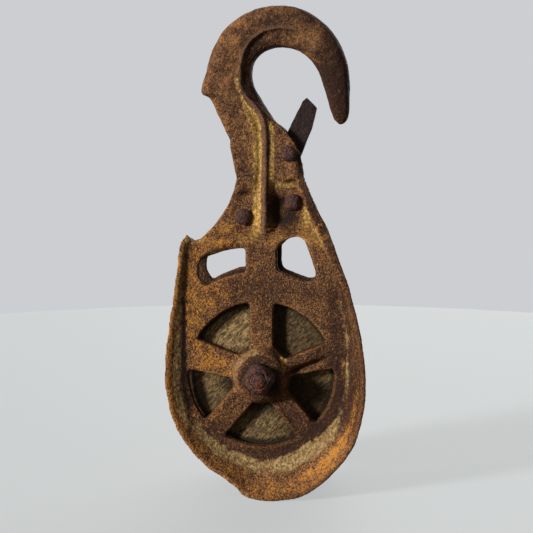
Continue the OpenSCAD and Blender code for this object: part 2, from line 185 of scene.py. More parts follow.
def latticeNoise(x, y, z, size, seed):
    # Smooth noise from -1 to 1: random numbers on a repeating lattice of 32 cells a side, blended
    # with a smoothstep between the eight corners round each point
    table = np.random.default_rng(seed).uniform(-1, 1, (32, 32, 32))
    cell, part = [], []
    for v in (x, y, z):
        v = v / size + 1000.37
        cell.append(np.floor(v).astype(int))
        f = v - np.floor(v)
        part.append(f * f * (3 - 2 * f))
    total = 0
    for corner in cubeCorners:
        weight = 1
        for p, up in zip(part, corner):
            weight = weight * (p if up else 1 - p)
        total = total + weight * table[tuple((c + up) % 32 for c, up in zip(cell, corner))]
    return total


def vertexNormals(points, faces):
    # The mean of the neighbouring faces' normals at each vertex
    a, b, c, d = (points[faces[:, k]] for k in range(4))
    n = np.cross(c - a, d - b)
    total = [np.bincount(faces.ravel(), np.repeat(n[:, k], 4), len(points)) for k in range(3)]
    total = np.stack(total, 1)
    return total / np.maximum(np.linalg.norm(total, axis=1, keepdims=True), 1e-12)


def surfaceNets(field, axes):
    # The surface where the field changes sign: one vertex in each cell that the surface crosses,
    # at the mean of the crossings on the cell's twelve edges, and one square face across each
    # grid edge that the surface crosses
    inside = field < 0
    cells = [slice(0, -1), slice(1, None)]
    count = sum(inside[cells[i], cells[j], cells[k]].astype(np.int8) for i, j, k in cubeCorners)
    at = np.argwhere((count > 0) & (count < 8))
    index = np.full(count.shape, -1, np.int32)
    index[tuple(at.T)] = np.arange(len(at))
    value = {c: field[tuple(at.T + np.array(c)[:, None])] for c in cubeCorners}
    total, hits = np.zeros((len(at), 3)), np.zeros(len(at))
    for c in cubeCorners:
        for axis in range(3):
            if c[axis] == 0:
                a, b = value[c], value[tuple(1 if k == axis else c[k] for k in range(3))]
                cross = (a < 0) != (b < 0)
                where = np.tile(np.array(c, float), (len(at), 1))
                where[:, axis] = np.where(cross, a / np.where(a == b, 1, a - b), 0)
                total += where * cross[:, None]
                hits += cross
    points = at + total / hits[:, None]
    points = np.stack([np.interp(points[:, k], np.arange(len(axes[k])), axes[k]) for k in range(3)], 1)
    faces = []
    for axis in range(3):
        u, v = [k for k in range(3) if k != axis]
        a, b = (inside[tuple(s if k == axis else slice(1, -1) for k in range(3))] for s in cells)
        edge = np.argwhere(a != b)
        flip = a[tuple(edge.T)]
        edge = edge + [0 if k == axis else 1 for k in range(3)]
        ring = []
        for du, dv in ((-1, -1), (0, -1), (0, 0), (-1, 0)):
            q = edge.copy()
            q[:, u] += du
            q[:, v] += dv
            ring.append(index[tuple(q.T)])
        quad = np.stack(ring, 1)
        turn = flip if axis != 1 else ~flip
        quad[~turn] = quad[~turn][:, ::-1]
        faces.append(quad)
    return points, np.vstack(faces), at


def blurred(block, reach):
    # The mean over a box of the given reach, taken along one axis after the other
    for axis in range(3):
        pad = [(reach + 1, reach) if k == axis else (0, 0) for k in range(3)]
        total = np.cumsum(np.pad(block, pad, mode="edge"), axis, dtype=np.float64)
        n = block.shape[axis]
        high = np.take(total, range(2 * reach + 1, 2 * reach + 1 + n), axis)
        block = ((high - np.take(total, range(0, n), axis)) / (2 * reach + 1)).astype(np.float32)
    return block


# The castings: their values, how widely their forms blend where they meet, all in mm, and then
# the rows and outlines that they are drawn with

cast = {
    "step": 1.03, "boxX": (-78, 88.1), "boxZ": (-98, 290.1), "boxDepth": (-2, 50.1),
    "gap": 20.0, "shoulder": (102.0, 117.0), "innerShoulder": (98.0, 113.0),
    "guardHeight": 23.0, "guardWall": 3.0, "guardPower": 1.9, "guardReach": 17, "leftOpening": 0.75,
    "backFlare": 0.55, "skinFade": 2.2, "skinPlay": 0.2, "beadHeight": 11.0, "beadHalf": 3.5,
    "beadCrown": 0.9, "beadFall": 2.4, "beadPower": 1.5, "beadFoot": 104, "barSlope": 1.2, "barStart": 1.1,
    "barSink": 0.8, "barSwell": 0.6, "grooveDepth": 2.6, "grooveHalf": 1.5, "grooveFade": 0.4,
    "bossBase": 23.0, "bossFace": 17.5, "bossHeight": 12.0, "hookStart": 188, "hookHalf": 12.0,
    "hookPower": 3, "creaseRidge": 1.1, "creaseHalf": 1.1, "creaseDepth": 1.3, "creaseRun": 3.0,
    "windowRadius": 56.5, "hubRadius": 24.0, "windowLift": 3.2, "windowBevel": 0.8,
    "bevelDepth": (20.8, 25.2), "boltHole": 6.45, "pinHole": 4.1, "pocket": 8.4, "slotHalf": 4.1,
    "slotEye": 9.6, "lump": 0.34, "lumpSize": 9, "fineLumpSize": 4.2, "grit": 0.16, "gritSize": 1.9,
}
blend = {
    "plate": 1.2, "joint": 0.8, "bead": 1.8, "bar": 1.6, "guard": 0.9, "guardTop": 1.4,
    "guardSides": 0.6, "guardEnds": 2.2, "guardFoot": 1.6, "bossEdge": 5.5, "bossFoot": 2.6,
    "hookEnds": 1.5, "hookFoot": 3.0, "spoke": 1.5, "window": 1.5, "pocket": 1.8, "slot": 0.8,
    "base": 1.0,
}

# The hook's stations: inner point, outer point, share of the full thickness
hookRows = [
    [7, 198, -35, 201, 0.7], [-1.5, 211.5, -41.6, 212.7, 0.85], [-7.5, 223, -48.4, 218.2, 0.95],
    [-9, 233, -44.3, 234.2, 1], [-7, 241, -38.9, 251.3, 1], [-1, 247.5, -28, 268.2, 1],
    [7, 251.3, -8.4, 280.2, 1], [16, 252, 11.6, 283.7, 1], [25, 250.2, 28.2, 281.3, 1],
    [33, 245.5, 43.2, 273, 1], [39.5, 238.3, 55.2, 260.6, 0.97], [43.8, 230, 62.6, 245.7, 0.92],
    [47, 220.5, 66.3, 230, 0.84], [50, 210.5, 66.5, 213, 0.72], [52.8, 202, 66.1, 202.4, 0.58],
    [55.3, 196.5, 64.4, 196.1, 0.42], [58.6, 193.2, 60.8, 193.1, 0.16]]
hookSteps = 8
# Where the crease of the hook runs, from its start on the left: station, share of the width, strength
creaseRows = [[0, 0.22, 0.3], [3, 0.22, 1], [4, 0.27, 1], [5, 0.36, 1], [6, 0.43, 1], [7, 0.46, 1],
              [8, 0.46, 0.8], [9, 0.44, 0.4], [10, 0.42, 0.1], [16, 0.4, 0]]

# The rope guard, from the upper left round to the pad: foot, rim, share of the full height, share
# of the wall's thickness
guardRows = [
    [-53.6, 102.2, -59.2, 109.6, 0.14, 1.1], [-55.2, 97.2, -63.3, 100.8, 0.17, 1.2],
    [-57, 83, -65.2, 84.2, 0.2, 1.2], [-58, 64, -67.9, 65.2, 0.23, 1.2],
    [-58.2, 42, -71.6, 43.4, 0.27, 1.2], [-58.2, 20, -74.5, 21.4, 0.31, 1.2],
    [-58, 2, -76.1, 3, 0.34, 1.2], [-56.6, -15, -74.2, -17.2, 0.37, 1.2],
    [-52.3, -30.5, -69.6, -35.4, 0.41, 1.2], [-46, -42, -62, -49.4, 0.47, 1.2],
    [-37, -51, -52, -62.2, 0.52, 1.1], [-28, -58, -41, -72.2, 0.57, 1.1],
    [-21, -62, -30.6, -78.5, 0.61, 1.1], [-15.5, -64, -23.9, -83, 0.65, 1],
    [-11, -65.3, -17, -88, 0.72, 1], [-5, -66.5, -10.8, -92.9, 0.82, 1],
    [3, -67, 1.8, -95, 0.92, 1], [12, -66.3, 13.4, -95.2, 1, 1],
    [21, -63.8, 27.4, -93.4, 1, 1], [32.5, -58.3, 42.4, -86.2, 1, 1],
    [43.5, -49.5, 56, -74.2, 1, 1], [53, -38, 68.8, -59, 1, 1],
    [59.5, -24, 77, -41.8, 1, 1.1], [63.2, -7, 81.6, -18, 1, 1.2],
    [64.2, 9, 81.8, 4, 0.95, 1.3], [63.9, 26, 79.7, 24, 0.82, 1.4],
    [62.5, 42, 76, 42.5, 0.62, 1.5], [59.8, 58, 71.8, 58.5, 0.45, 1.7],
    [56, 74, 66.4, 75.5, 0.33, 2], [51.3, 90, 60.3, 91.5, 0.24, 2.3],
    [45.5, 104, 54.5, 106, 0.2, 2.6], [37.5, 118, 47.6, 119.5, 0.2, 2.8],
    [32, 131, 40.8, 131.5, 0.2, 2.8], [27.5, 145, 35, 145, 0.2, 2.4],
    [25.3, 153, 32.2, 153, 0.17, 2.3], [24, 163, 30.2, 165.5, 0.1, 2],
    [22.5, 170, 28.8, 173.5, 0.06, 1.6]]
# The guard's height on the left of the back casting: z and share of the full height
backRise = [[-48, 1], [-30, 0.9], [-15, 0.82], [2, 0.72], [20, 0.65], [42, 0.58], [64, 0.5],
            [83, 0.42], [103, 0.36]]

neckOutline = [
    [-53.6, 103.4], [-48.4, 104.2], [-45, 106.8], [-42.2, 110.2], [-36, 118], [-28.5, 129],
    [-23.1, 141], [-20.6, 151], [-22.9, 163.3], [-25.5, 175.8], [-25.2, 181], [-31.3, 192.6],
    [-36, 203], [-38, 211], [-12, 214], [-3, 208], [5, 199], [11.5, 193.5], [16.8, 189.4],
    [25.5, 178], [29.6, 168.5]]
# The bead on the neck: x and z of its line, share of its width, share of its height
beadRows = [
    [-16.5, 233, 0.9, 0.8], [-14.5, 222, 1.1, 0.95], [-9.2, 211.5, 1.1, 1], [-3.5, 204.5, 1, 1],
    [0.7, 196, 1, 1], [2.2, 186, 1, 1], [2.4, 172, 1, 1], [2.2, 155, 1, 1], [1.8, 138, 1, 1],
    [1.6, 124, 1, 1], [1.5, 115, 1.1, 1.15], [1.5, 106, 1.3, 1.7]]
bead = curveThrough(beadRows, 6)

webOutline = [
    [-21.2, 139.6], [-7, 145.8], [-5, 158], [-4.6, 178], [-6.5, 191], [-11, 201], [-17, 210],
    [-20, 221], [-38, 219], [-39, 210], [-36, 203], [-31.3, 192.6], [-25.2, 181], [-25.5, 175.8],
    [-22.9, 163.3], [-20.6, 151]]
padOutline = [
    [9.6, 153], [9.6, 189], [12, 193], [16.8, 189.4], [25.5, 178], [29.6, 168.5], [31, 160.5],
    [27, 153], [16, 150.5]]
grooveOutline = [[1.5, 151], [2, 186], [0, 197], [7.5, 194], [10, 188], [10, 156], [8, 151]]
# Outline, height over the joint face, slope of the sides, how far inside they start, blend
raisedForms = [(webOutline, 10.0, 0.6, 0.4, 1.6), (padOutline, 11.0, 1.1, 0.3, 1.2),
               (grooveOutline, 9.6, 0.7, 0.2, 0.8)]
# Hollows right of the bead: depth, centre, half size
pit = (4.2, (13, 126), (10, 12))
footHollow = (3, (7.5, 112), (4, 8))

# The two upper windows, and their wider outlines at the front, where the edges are rounded off
lowArc = [[81 * math.cos(math.radians(a)), 81 * math.sin(math.radians(a))]
          for a in (122.5, 116.5, 110.5, 104.5, 98.5)]
leftWindow = lowArc + [[-12, 98.6], [-29.3, 95.8], [-41, 92], [-47.8, 87], [-48.2, 76.5]]
leftFront = lowArc + [[-12, 101.8], [-17, 102.6], [-26, 101.4], [-33, 99.2], [-40.5, 95.6],
                      [-47, 90], [-49, 82.5], [-49, 76]]
rightWindow = [
    [12.7, 97.5], [12.6, 84], [13.8, 79.2], [17, 77], [26, 73.4], [34, 70.4], [38.7, 70.6],
    [41.9, 74.2], [41.6, 79], [36.5, 97], [33.1, 104.9], [27.5, 107.4], [20.7, 105.9]]
rightFront = [
    [11.8, 97.5], [11.6, 84], [13, 78.6], [17, 76.2], [26, 72.6], [34, 69.6], [39.2, 69.9], [42.6, 74],
    [42.4, 79.2], [37.2, 97.4], [33.9, 105.6], [29, 109], [22, 109], [16, 106]]
# The spokes of the round window: angle in degrees, width at the hub, width at the rim
spokes = [[89.5, 19.5, 19.5], [164.5, 20.5, 26], [230, 20.5, 20], [309, 17.5, 19], [16.5, 16, 23.5]]
# Raised bars on two spokes: height over the plate, and corners
bars = [(2.8, [[14.5, 15], [47, 25.5], [52, 16.5], [18.5, 4]]),
        (1.6, [[22, -0.6], [50, 10], [53, 6.8], [23, -3.2]]),
        (2.2, [[22.6, -15.2], [39.7, -34.7], [37.4, -36.6], [20.4, -16.9]]),
        (1.8, [[11.4, -26.8], [24.5, -44.6], [26.8, -42.7], [13.7, -24.9]])]
spokeGroove = [[20.5, 1.6], [36, 7.2], [51, 13.8]]
backShoulder = [[-80, 96], [-52, 96], [-43, 101], [-36, 108], [-31, 116], [-40, 125], [-80, 125]]
frameRivets = [(-15.2, 121.3), (23.5, 133)]
# Where the latch swings in its slot: lean in degrees, lower left corner from the pivot, size
slotBoxes = [(-3.4, (-9.8, -3), (33.2, 30)), (54, (-8.6, -2), (18.4, 14))]


def flat(values):
    # A sheet over x and z made ready to meet the depths
    return values.astype(np.float32)[:, :, None]


def onSheet(within, values, outside):
    # A sheet that holds the values within a mask and one number everywhere else
    sheet = np.full(within.shape, outside, np.float32)
    sheet[within] = values
    return sheet


def readers(near, at, count):
    # Two helpers for a run of stations: rowOf reads a column at each point's station, and sheet
    # spreads values at those points over the whole sheet
    def rowOf(values):
        return np.interp(at, np.arange(count), values)

    def sheet(values, outside):
        return flat(onSheet(near, values, outside))

    return rowOf, sheet


def guardLines(flare, horn):
    # The guard's rows as a smooth run, with the width from foot to rim and the wall's thickness.
    # Flare is the share of the width that the right side keeps
    rows = curveThrough(guardRows, 6)
    kept = np.where(rows[:, 0] > 0, np.interp(rows[:, 1], [-30, 60], [1, flare]), 1)
    rows[:, 2:4] = rows[:, 0:2] + (rows[:, 2:4] - rows[:, 0:2]) * kept[:, None]
    if not horn:
        left = np.interp(rows[:, 1], *np.transpose(backRise))
        rows[:, 4] = np.where(rows[:, 0] < 0, np.maximum(rows[:, 4], left), rows[:, 4])
    width = np.hypot(rows[:, 2] - rows[:, 0], rows[:, 3] - rows[:, 1])
    return rows, width, np.minimum(cast["guardWall"] * rows[:, 5], width - 0.4)


def plateShape(x, z, depth, outer, inner, rows, width, wall):
    # The plate and neck: a slab over the outline between the heights inner and top. The top takes
    # the larger of the outer height and of each raised form, which is its height less its slope
    # times the distance from its outline. Each height's field is divided by sqrt(1 + slope^2)
    edge = rows[:, 0:2] + (rows[:, 2:4] - rows[:, 0:2]) * (wall / width * 0.6)[:, None]
    line = soften(outlineDistance(x, z, np.vstack([neckOutline, edge[::-1]])), 1)
    top = outer - pit[0] * dimple(x, z, *pit[1:]) \
        - footHollow[0] * dimple(x, z, *footHollow[1:]) * smoothstep(98, 108, z)
    for outline, height, slope, start, soft in raisedForms:
        past = soften(outlineDistance(x, z, outline), 2)
        top = smoothMax(top, height - slope * np.maximum(0, past + start), soft)
    beadLine = lineDistance(x, z, bead[:, 0:2])
    nearest = ((x[..., None] - bead[::3, 0]) ** 2 + (z[..., None] - bead[::3, 1]) ** 2).argmin(-1) * 3
    beadHalf, beadTop = cast["beadHalf"] * bead[nearest, 2], cast["beadHeight"] * bead[nearest, 3]
    beadShape = beadTop + cast["beadCrown"] - cast["beadFall"] * (beadLine / beadHalf) ** cast["beadPower"]
    top = smoothMax(top, np.where(z > cast["beadFoot"], beadShape, -50), blend["bead"])
    for height, corners in bars:
        past = soften(outlineDistance(x, z, corners), 1)
        # each bar sinks towards the window's rim, and the upper ones swell towards the boss
        height = height * (1 - cast["barSink"] * smoothstep(38, 50, x)
                           + cast["barSwell"] * smoothstep(30, 20, x) * (z > 0))
        side = cast["barSlope"] * np.maximum(0, past + cast["barStart"])
        top = smoothMax(top, plateFace + height - side, blend["bar"])
    grooveLine = lineDistance(x, z, spokeGroove)
    groove = cast["grooveDepth"] * np.exp(-(grooveLine / cast["grooveHalf"]) ** 2)
    top = top - groove * (1 - cast["grooveFade"] * smoothstep(30, 52, x))
    topSteep, innerSteep = (flat(np.sqrt(1 + np.hypot(*np.gradient(height, cast["step"])) ** 2))
                            for height in (top, inner))
    plate = smoothMax(flat(line), (depth - flat(top)) / topSteep, blend["plate"])
    plate = smoothMax(plate, (flat(inner) - depth) / innerSteep, blend["joint"])
    return plate, {"bead": beadLine, "spokeGroove": grooveLine, "pad": outlineDistance(x, z, padOutline)}


def guardShape(x, z, depth, outer, inner, rows, width, wall, horn):
    # The rope guard: the space between two power curves that leave the plate. With q and p the
    # shares of the run from the foot, the second one a wall's thickness later, the outer face is
    # rise * q^power over the plate and the inner one rise * p^power less the fading plate
    near = lineDistance(x, z, np.vstack([rows[::3, 0:2], rows[::3, 2:4]])) < cast["guardReach"]
    at, run, past = stationMap(x[near], z[near], rows)
    found = past < farOff
    rowOf, sheet = readers(near, at, len(rows))
    widthAt, wallAt = rowOf(width), rowOf(wall)
    rise = rowOf(rows[:, 4]) * (cast["guardHeight"] + 1)
    reach = widthAt - wallAt
    opening = cast["leftOpening"] * horn * smoothstep(-10, -35, x[near]) * smoothstep(-85, -50, z[near])
    power = cast["guardPower"] - opening
    q = np.clip(run / reach, 0, 1.3)
    p = np.clip((run - wallAt) / reach, 0, 1.3)
    left = np.clip(1 - p, 0, 1)
    fade = cast["skinFade"]
    skin = (outer - inner)[near] - cast["skinPlay"]
    face = outer[near]
    outerSlope = power * rise / reach * q ** (power - 1)
    innerSlope = power * rise / reach * p ** (power - 1) + fade * skin / reach * left ** (fade - 1) * (p > 0)
    outerFace = sheet(face + rise * q ** power, 0)
    innerFace = sheet(face + (rise * p ** power - skin * left ** fade), 0)
    guard = smoothMax((depth - outerFace) / sheet(np.sqrt(1 + outerSlope ** 2), 1),
                      (innerFace - depth) / sheet(np.sqrt(1 + innerSlope ** 2), 1), blend["guard"])
    top = np.minimum(face + rise, plateFace + cast["guardHeight"])
    guard = smoothMax(guard, depth - sheet(top, 0), blend["guardTop"])
    guard = smoothMax(guard, sheet(np.maximum(-2 - run, run - widthAt - 0.3), 9), blend["guardSides"])
    ends = np.clip(past + np.where(x[near] < 0, -1.0, 1.2), -farOff, farOff)
    guard = smoothMax(guard, sheet(ends, farOff), blend["guardEnds"])
    middles = 0.5 * (rows[:, 0:2] + rows[:, 2:4])
    length = np.concatenate([[0], np.cumsum(np.hypot(*np.diff(middles, axis=0).T))])
    return np.where(sheet(found, 0) > 0.5, guard, 4), {
        "run": onSheet(near, np.where(found, run, -9), -9),
        "along": onSheet(near, np.where(found, rowOf(length), 0), 0),
        "width": onSheet(near, np.where(found, widthAt, 1), 1)}


def hookShape(x, z, depth):
    # The hook: a superellipse carried along the stations, |2t - 1|^n + |(depth - crease) / half|^n
    # = 1 with t the share of the width, divided by the length of its gradient
    stations = curveThrough(hookRows, hookSteps)
    near = z > cast["hookStart"]
    at, run, past = stationMap(x[near], z[near], stations)
    rowOf, sheet = readers(near, at, len(stations))
    width = rowOf(np.hypot(stations[:, 2] - stations[:, 0], stations[:, 3] - stations[:, 1]))
    share = run / width
    row, place, strength = np.transpose(creaseRows)
    off = (share - np.interp(at / hookSteps, row, place)) * width
    strength = np.interp(at / hookSteps, row, strength)
    hollow = cast["creaseDepth"] * smoothstep(0, -cast["creaseRun"], off) * smoothstep(-0.1, 0.25, share)
    crease = strength * (cast["creaseRidge"] * np.exp(-(off / cast["creaseHalf"]) ** 2) - hollow)
    n = cast["hookPower"]
    half = sheet(rowOf(stations[:, 4]) * cast["hookHalf"], 1)
    side = np.abs(sheet(2 * share - 1, 3))
    up = np.abs(depth - sheet(crease, 0)) / half
    steep = np.sqrt((n * side ** (n - 1) * 2 / sheet(width, 20)) ** 2 + (n * up ** (n - 1) / half) ** 2)
    hook = np.clip((side ** n + up ** n - 1) / np.maximum(steep, 0.05), -farOff, farOff)
    hook = smoothMax(hook, sheet(np.clip(past, -farOff, farOff), farOff), blend["hookEnds"])
    return np.where(sheet(past < farOff, 0) > 0.5, hook, 5), {
        "creaseLine": onSheet(near, strength * np.exp(-((off - 0.4) / 1.3) ** 2), 0),
        "creaseDark": onSheet(near, np.minimum(1, 1.4 * strength) * smoothstep(-0.8, -2.2, off), 0)}


def windowSheets(x, z, horn):
    # Distances to the windows' edges, at their true size and widened as they are at the front:
    # a ring less the spokes, whose half width is read off between hub and rim, and two outlines
    r = np.hypot(x, z)
    ring = np.maximum(r - cast["windowRadius"], cast["hubRadius"] - r)
    for angle, hubWidth, rimWidth in spokes:
        a = math.radians(angle)
        along, across = x * math.cos(a) + z * math.sin(a), np.abs(z * math.cos(a) - x * math.sin(a))
        half = np.interp(along, [cast["hubRadius"], cast["windowRadius"] + 2], [hubWidth / 2, rimWidth / 2])
        ring = smoothMax(ring, np.where(along > 0, half - across, -30), blend["spoke"])
    # the lower edge of the right window is higher in the front casting
    lift = cast["windowLift"] if horn else 0
    sheets = []
    for left, right, wider in ((leftWindow, rightWindow, 0), (leftFront, rightFront, cast["windowBevel"])):
        right = [[cornerX, cornerZ + lift * (cornerZ < 80)] for cornerX, cornerZ in right]
        upper = np.minimum(outlineDistance(x, z, left), outlineDistance(x, z, right))
        sheets.append(soften(np.minimum(ring - wider, upper), 3))
    return sheets


def cutAway(body, x, z, depth, trueWindows, wideWindows, horn):
    # Windows, bores, the rivets' pockets and the latch's slot, each taken off as the smooth maximum
    # of the body and the negative of the cutter
    front = smoothstep(*cast["bevelDepth"], depth)
    windows = flat(trueWindows) * (1 - front) + flat(wideWindows) * front
    body = smoothMax(body, -windows, blend["window"])
    pin = np.hypot(x - latchPivot[0], z - latchPivot[1])
    body = np.maximum(body, flat(cast["boltHole"] - np.hypot(x, z)))
    body = np.maximum(body, flat(cast["pinHole"] - pin))
    for rivetX, rivetZ in frameRivets:
        away = np.hypot(x - rivetX, z - rivetZ)
        body = np.maximum(body, flat(cast["pinHole"] - away))
        body = smoothMax(body, -np.maximum(flat(away) - cast["pocket"], neckFace - depth), blend["pocket"])
    slot = pin - cast["slotEye"]
    for lean, corner, size in slotBoxes:
        a = math.radians(-lean)
        u = (x - latchPivot[0]) * math.cos(a) + (z - latchPivot[1]) * math.sin(a)
        v = (z - latchPivot[1]) * math.cos(a) - (x - latchPivot[0]) * math.sin(a)
        box = np.maximum(np.abs(u - corner[0] - size[0] / 2) - size[0] / 2,
                         np.abs(v - corner[1] - size[1] / 2) - size[1] / 2)
        slot = np.minimum(slot, box)
    body = smoothMax(body, -np.maximum(flat(slot), depth - cast["slotHalf"]), blend["slot"])
    body = smoothMax(body, -depth, blend["base"])
    if not horn:
        body = np.maximum(body, -flat(soften(outlineDistance(x, z, backShoulder), 2)))
    return body


# Where the casting's colours lie. Each row is an amount, or a pair with what the guard's streaks
# add to it, and then its factors: a ramp (axis, where it is 0, where it is 1), a soft spot (x, z,
# half width, half height), or an axis taken as it is

bottom = (("z", -25, -50),)
leftSide = (("x", -40, -52), ("z", -50, -25))
rightSide = (("x", 40, 60), ("z", -50, -25))
bossRing = (("r", 16.5, 18.2), ("r", 23, 20.8))
shoulderZone = (("z", 96, 106), ("z", 126, 112))
rimZone = (("x", 22, 29), ("z", 85, 100), ("z", 156, 148))
colourRows = {
    "upperRim": [(1, ("x", 19.9, 20), ("z", 96, 112), ("share", 0.1, 0.35))],
    "paint": [
        (1, ("bead", 2.4, 3.8), ("narrowing", 12, 7.5), ("beside", 0, -0.01), ("z", 100, 124),
         ("z", 238, 226)),
        (1.3, ("bead", 2.4, 3.8), ("bead", 8, 5.5), ("beside", -0.01, 0), ("z", 140, 148), ("z", 200, 190)),
        (0.34, *shoulderZone), (0.14, *rimZone),
        ((0.26, 0.3), ("x", 24.9, 25), ("footLine",), ("z", -20, 10), ("z", 130, 105)),
        (0.8, ("spot", 18, 147, 9, 4.5)), (0.7, ("spot", 34.5, 124, 4, 8)),
        (1.3, ("spot", 18.5, 9, 2, 5.5)), (1.2, ("spot", 17.5, 14.5, 3.2, 2.2))],
    "cream": [
        (1, *bottom, ("raggedIn", -0.1, 0.05), ("raggedOut", 0.5, 0.26), ("chipped",)),
        ((1.1, 0.6), *leftSide, ("share", 0.26, 0.36), ("share", 0.64, 0.52)),
        (1, *leftSide, ("share", 0.93, 0.98), ("z", -40, 0)),
        ((0.42, 0.4), *rightSide, ("share", 0.02, 0.12), ("share", 0.36, 0.2)),
        # The boss ring's side towards the key light gets extra cream: a painted highlight
        (0.062, *bossRing), (0.558, *bossRing, ("keyLitSide", 0.1, 0.9))],
    "orange": [
        (0.8, *bottom, ("share", 0.4, 0.6)),
        ((1.2, 0.6), *leftSide, ("share", 0.58, 0.68)),
        (0.3, *rightSide, ("share", 0.4, 0.5), ("share", 0.74, 0.62)),
        ((1.3, 0.78), ("x", 30, 44), ("z", 0, -24), ("share", 0.5, 0.58), ("share", 0.72, 0.64)),
        (0.9, ("x", -8, -40), ("z", -60, -20), ("z", 125, 95), ("share", 0.1, 0.099)),
        (0.35, ("x", 8, -30), ("z", 205, 235)),
        (0.51, *shoulderZone), (0.112, *rimZone)],
    # Painted shade on the parts that face away from the key light: the right guard's outer part, the hook's
    # right end, the plate's right side, the bottom rim's edge, the bead's right flank, the crease's inner
    # band and the upper right rim; painted shade also on the inner faces between the castings. The right
    # guard's foot is darker rust, and the other rows darken the plate by the lower right guard, the lower
    # ring, the boss's top and a few soft spots
    "shade_and_dark_rust": [
        (1.3, *rightSide, ("share", 0.66, 0.8)),
        ((0.6, -0.35), *rightSide, ("share", -0.1, 0.3)),
        (0.35, *rightSide, ("x", 44, 56), ("share", 0.06, -0.1), ("z", -60, -30)),
        (0.7, *bottom, ("share", 0.8, 0.9), ("x", -14, 4)), (1, *bottom, ("share", 0.94, 1)),
        (0.6, ("x", 30, 60), ("z", 185, 225)),
        (0.75, ("x", 40, 50), ("z", 185, 192), ("z", 232, 205)),
        (0.3, ("slant", 5, 60), ("z", 90, 60), ("share", 0.1, 0.099)),
        (0.55, ("z", -25, -40), ("r", 52, 60), ("share", 0.05, 0.049)),
        (0.45, ("z", -12, -34), ("r", 60, 52), ("share", 0.05, 0.049)),
        (0.9, ("depth", 21.5, 19), ("z", 104, 96)),
        (0.8, ("beside", -0.2, 1.4), ("bead", 3.6, 2.6), ("z", 104, 112)),
        (0.6, ("r", 17.5, 16)), (0.1, ("creaseDark",)), (0.8, ("upperRim",)),
        (0.35, ("spot", -2, 66, 22, 22)), (0.5, ("spot", 59, -24, 13, 17)),
        (0.4, ("spot", 66, -14, 12, 30))],
    # Painted shadow in the pit beside the bead, in the spoke's groove, under the web's step and right of the
    # nut; painted shade in the left guard's foot, on the windows' walls and edges and on the bottom rim's
    # edge. The streaks on the left guard are soot, and the line by the pad is a crack
    "soot_and_painted_shadow": [
        (1.3, ("hollow",)), (0.9, ("grooveLine",), ("depth", 19.9, 20)),
        (1, *leftSide, ("share", -0.06, 0.02), ("share", 0.28, 0.2), ("z", 74, 50), ("z", -38, -22)),
        (0.3, *leftSide, ("streak", -0.1, -0.9), ("share", 0.249, 0.25)),
        (0.8, ("window", 4, 1.5), ("up", 0.75, 0.35), ("depth", 11.9, 12)),
        (0.7, ("window", 2, 1.99), ("spot", -50, -21, 9, 26), ("r", 59, 57), ("r", 39.9, 40)),
        (0.7, ("padLine",), ("x", 15, 11), ("z", 148, 153), ("z", 190, 184)),
        (0.45, *bottom, ("share", 0.84, 0.93), ("x", -16, 12)),
        (0.4, *bottom, ("share", 0.94, 0.985), ("x", -16, 12)),
        (1.2, ("spot", 12, -8.5, 5, 8.5), ("r", 22, 21.99)), (0.6, ("spot", -16, 140.5, 6, 2))],
    # The pale rim on the left is wear; the bead's crest and the hook's crease get a painted highlight
    "wear_and_painted_sheen": [
        (0.9, *leftSide, ("share", 0.84, 0.92), ("z", -40, 0)),
        (1, ("beside", 1.4, -0.6), ("bead", 3.4, 1.6), ("z", 104, 112)),
        (1, ("creaseLine",))],
}


def layered(label, axes):
    # The sum of a colour's rows, each one its amount times all its factors
    total = 0
    for amount, *factors in colourRows[label]:
        steady, streaky = amount if isinstance(amount, tuple) else (amount, 0)
        part = np.maximum(0, steady + streaky * axes["streak"])
        for axis, *numbers in factors:
            if axis == "spot":
                spotX, spotZ, wide, tall = numbers
                part = part * np.exp(-((axes["x"] - spotX) / wide) ** 2 - ((axes["z"] - spotZ) / tall) ** 2)
            else:
                part = part * (smoothstep(*numbers, axes[axis]) if numbers else axes[axis])
        total = total + part
    return total


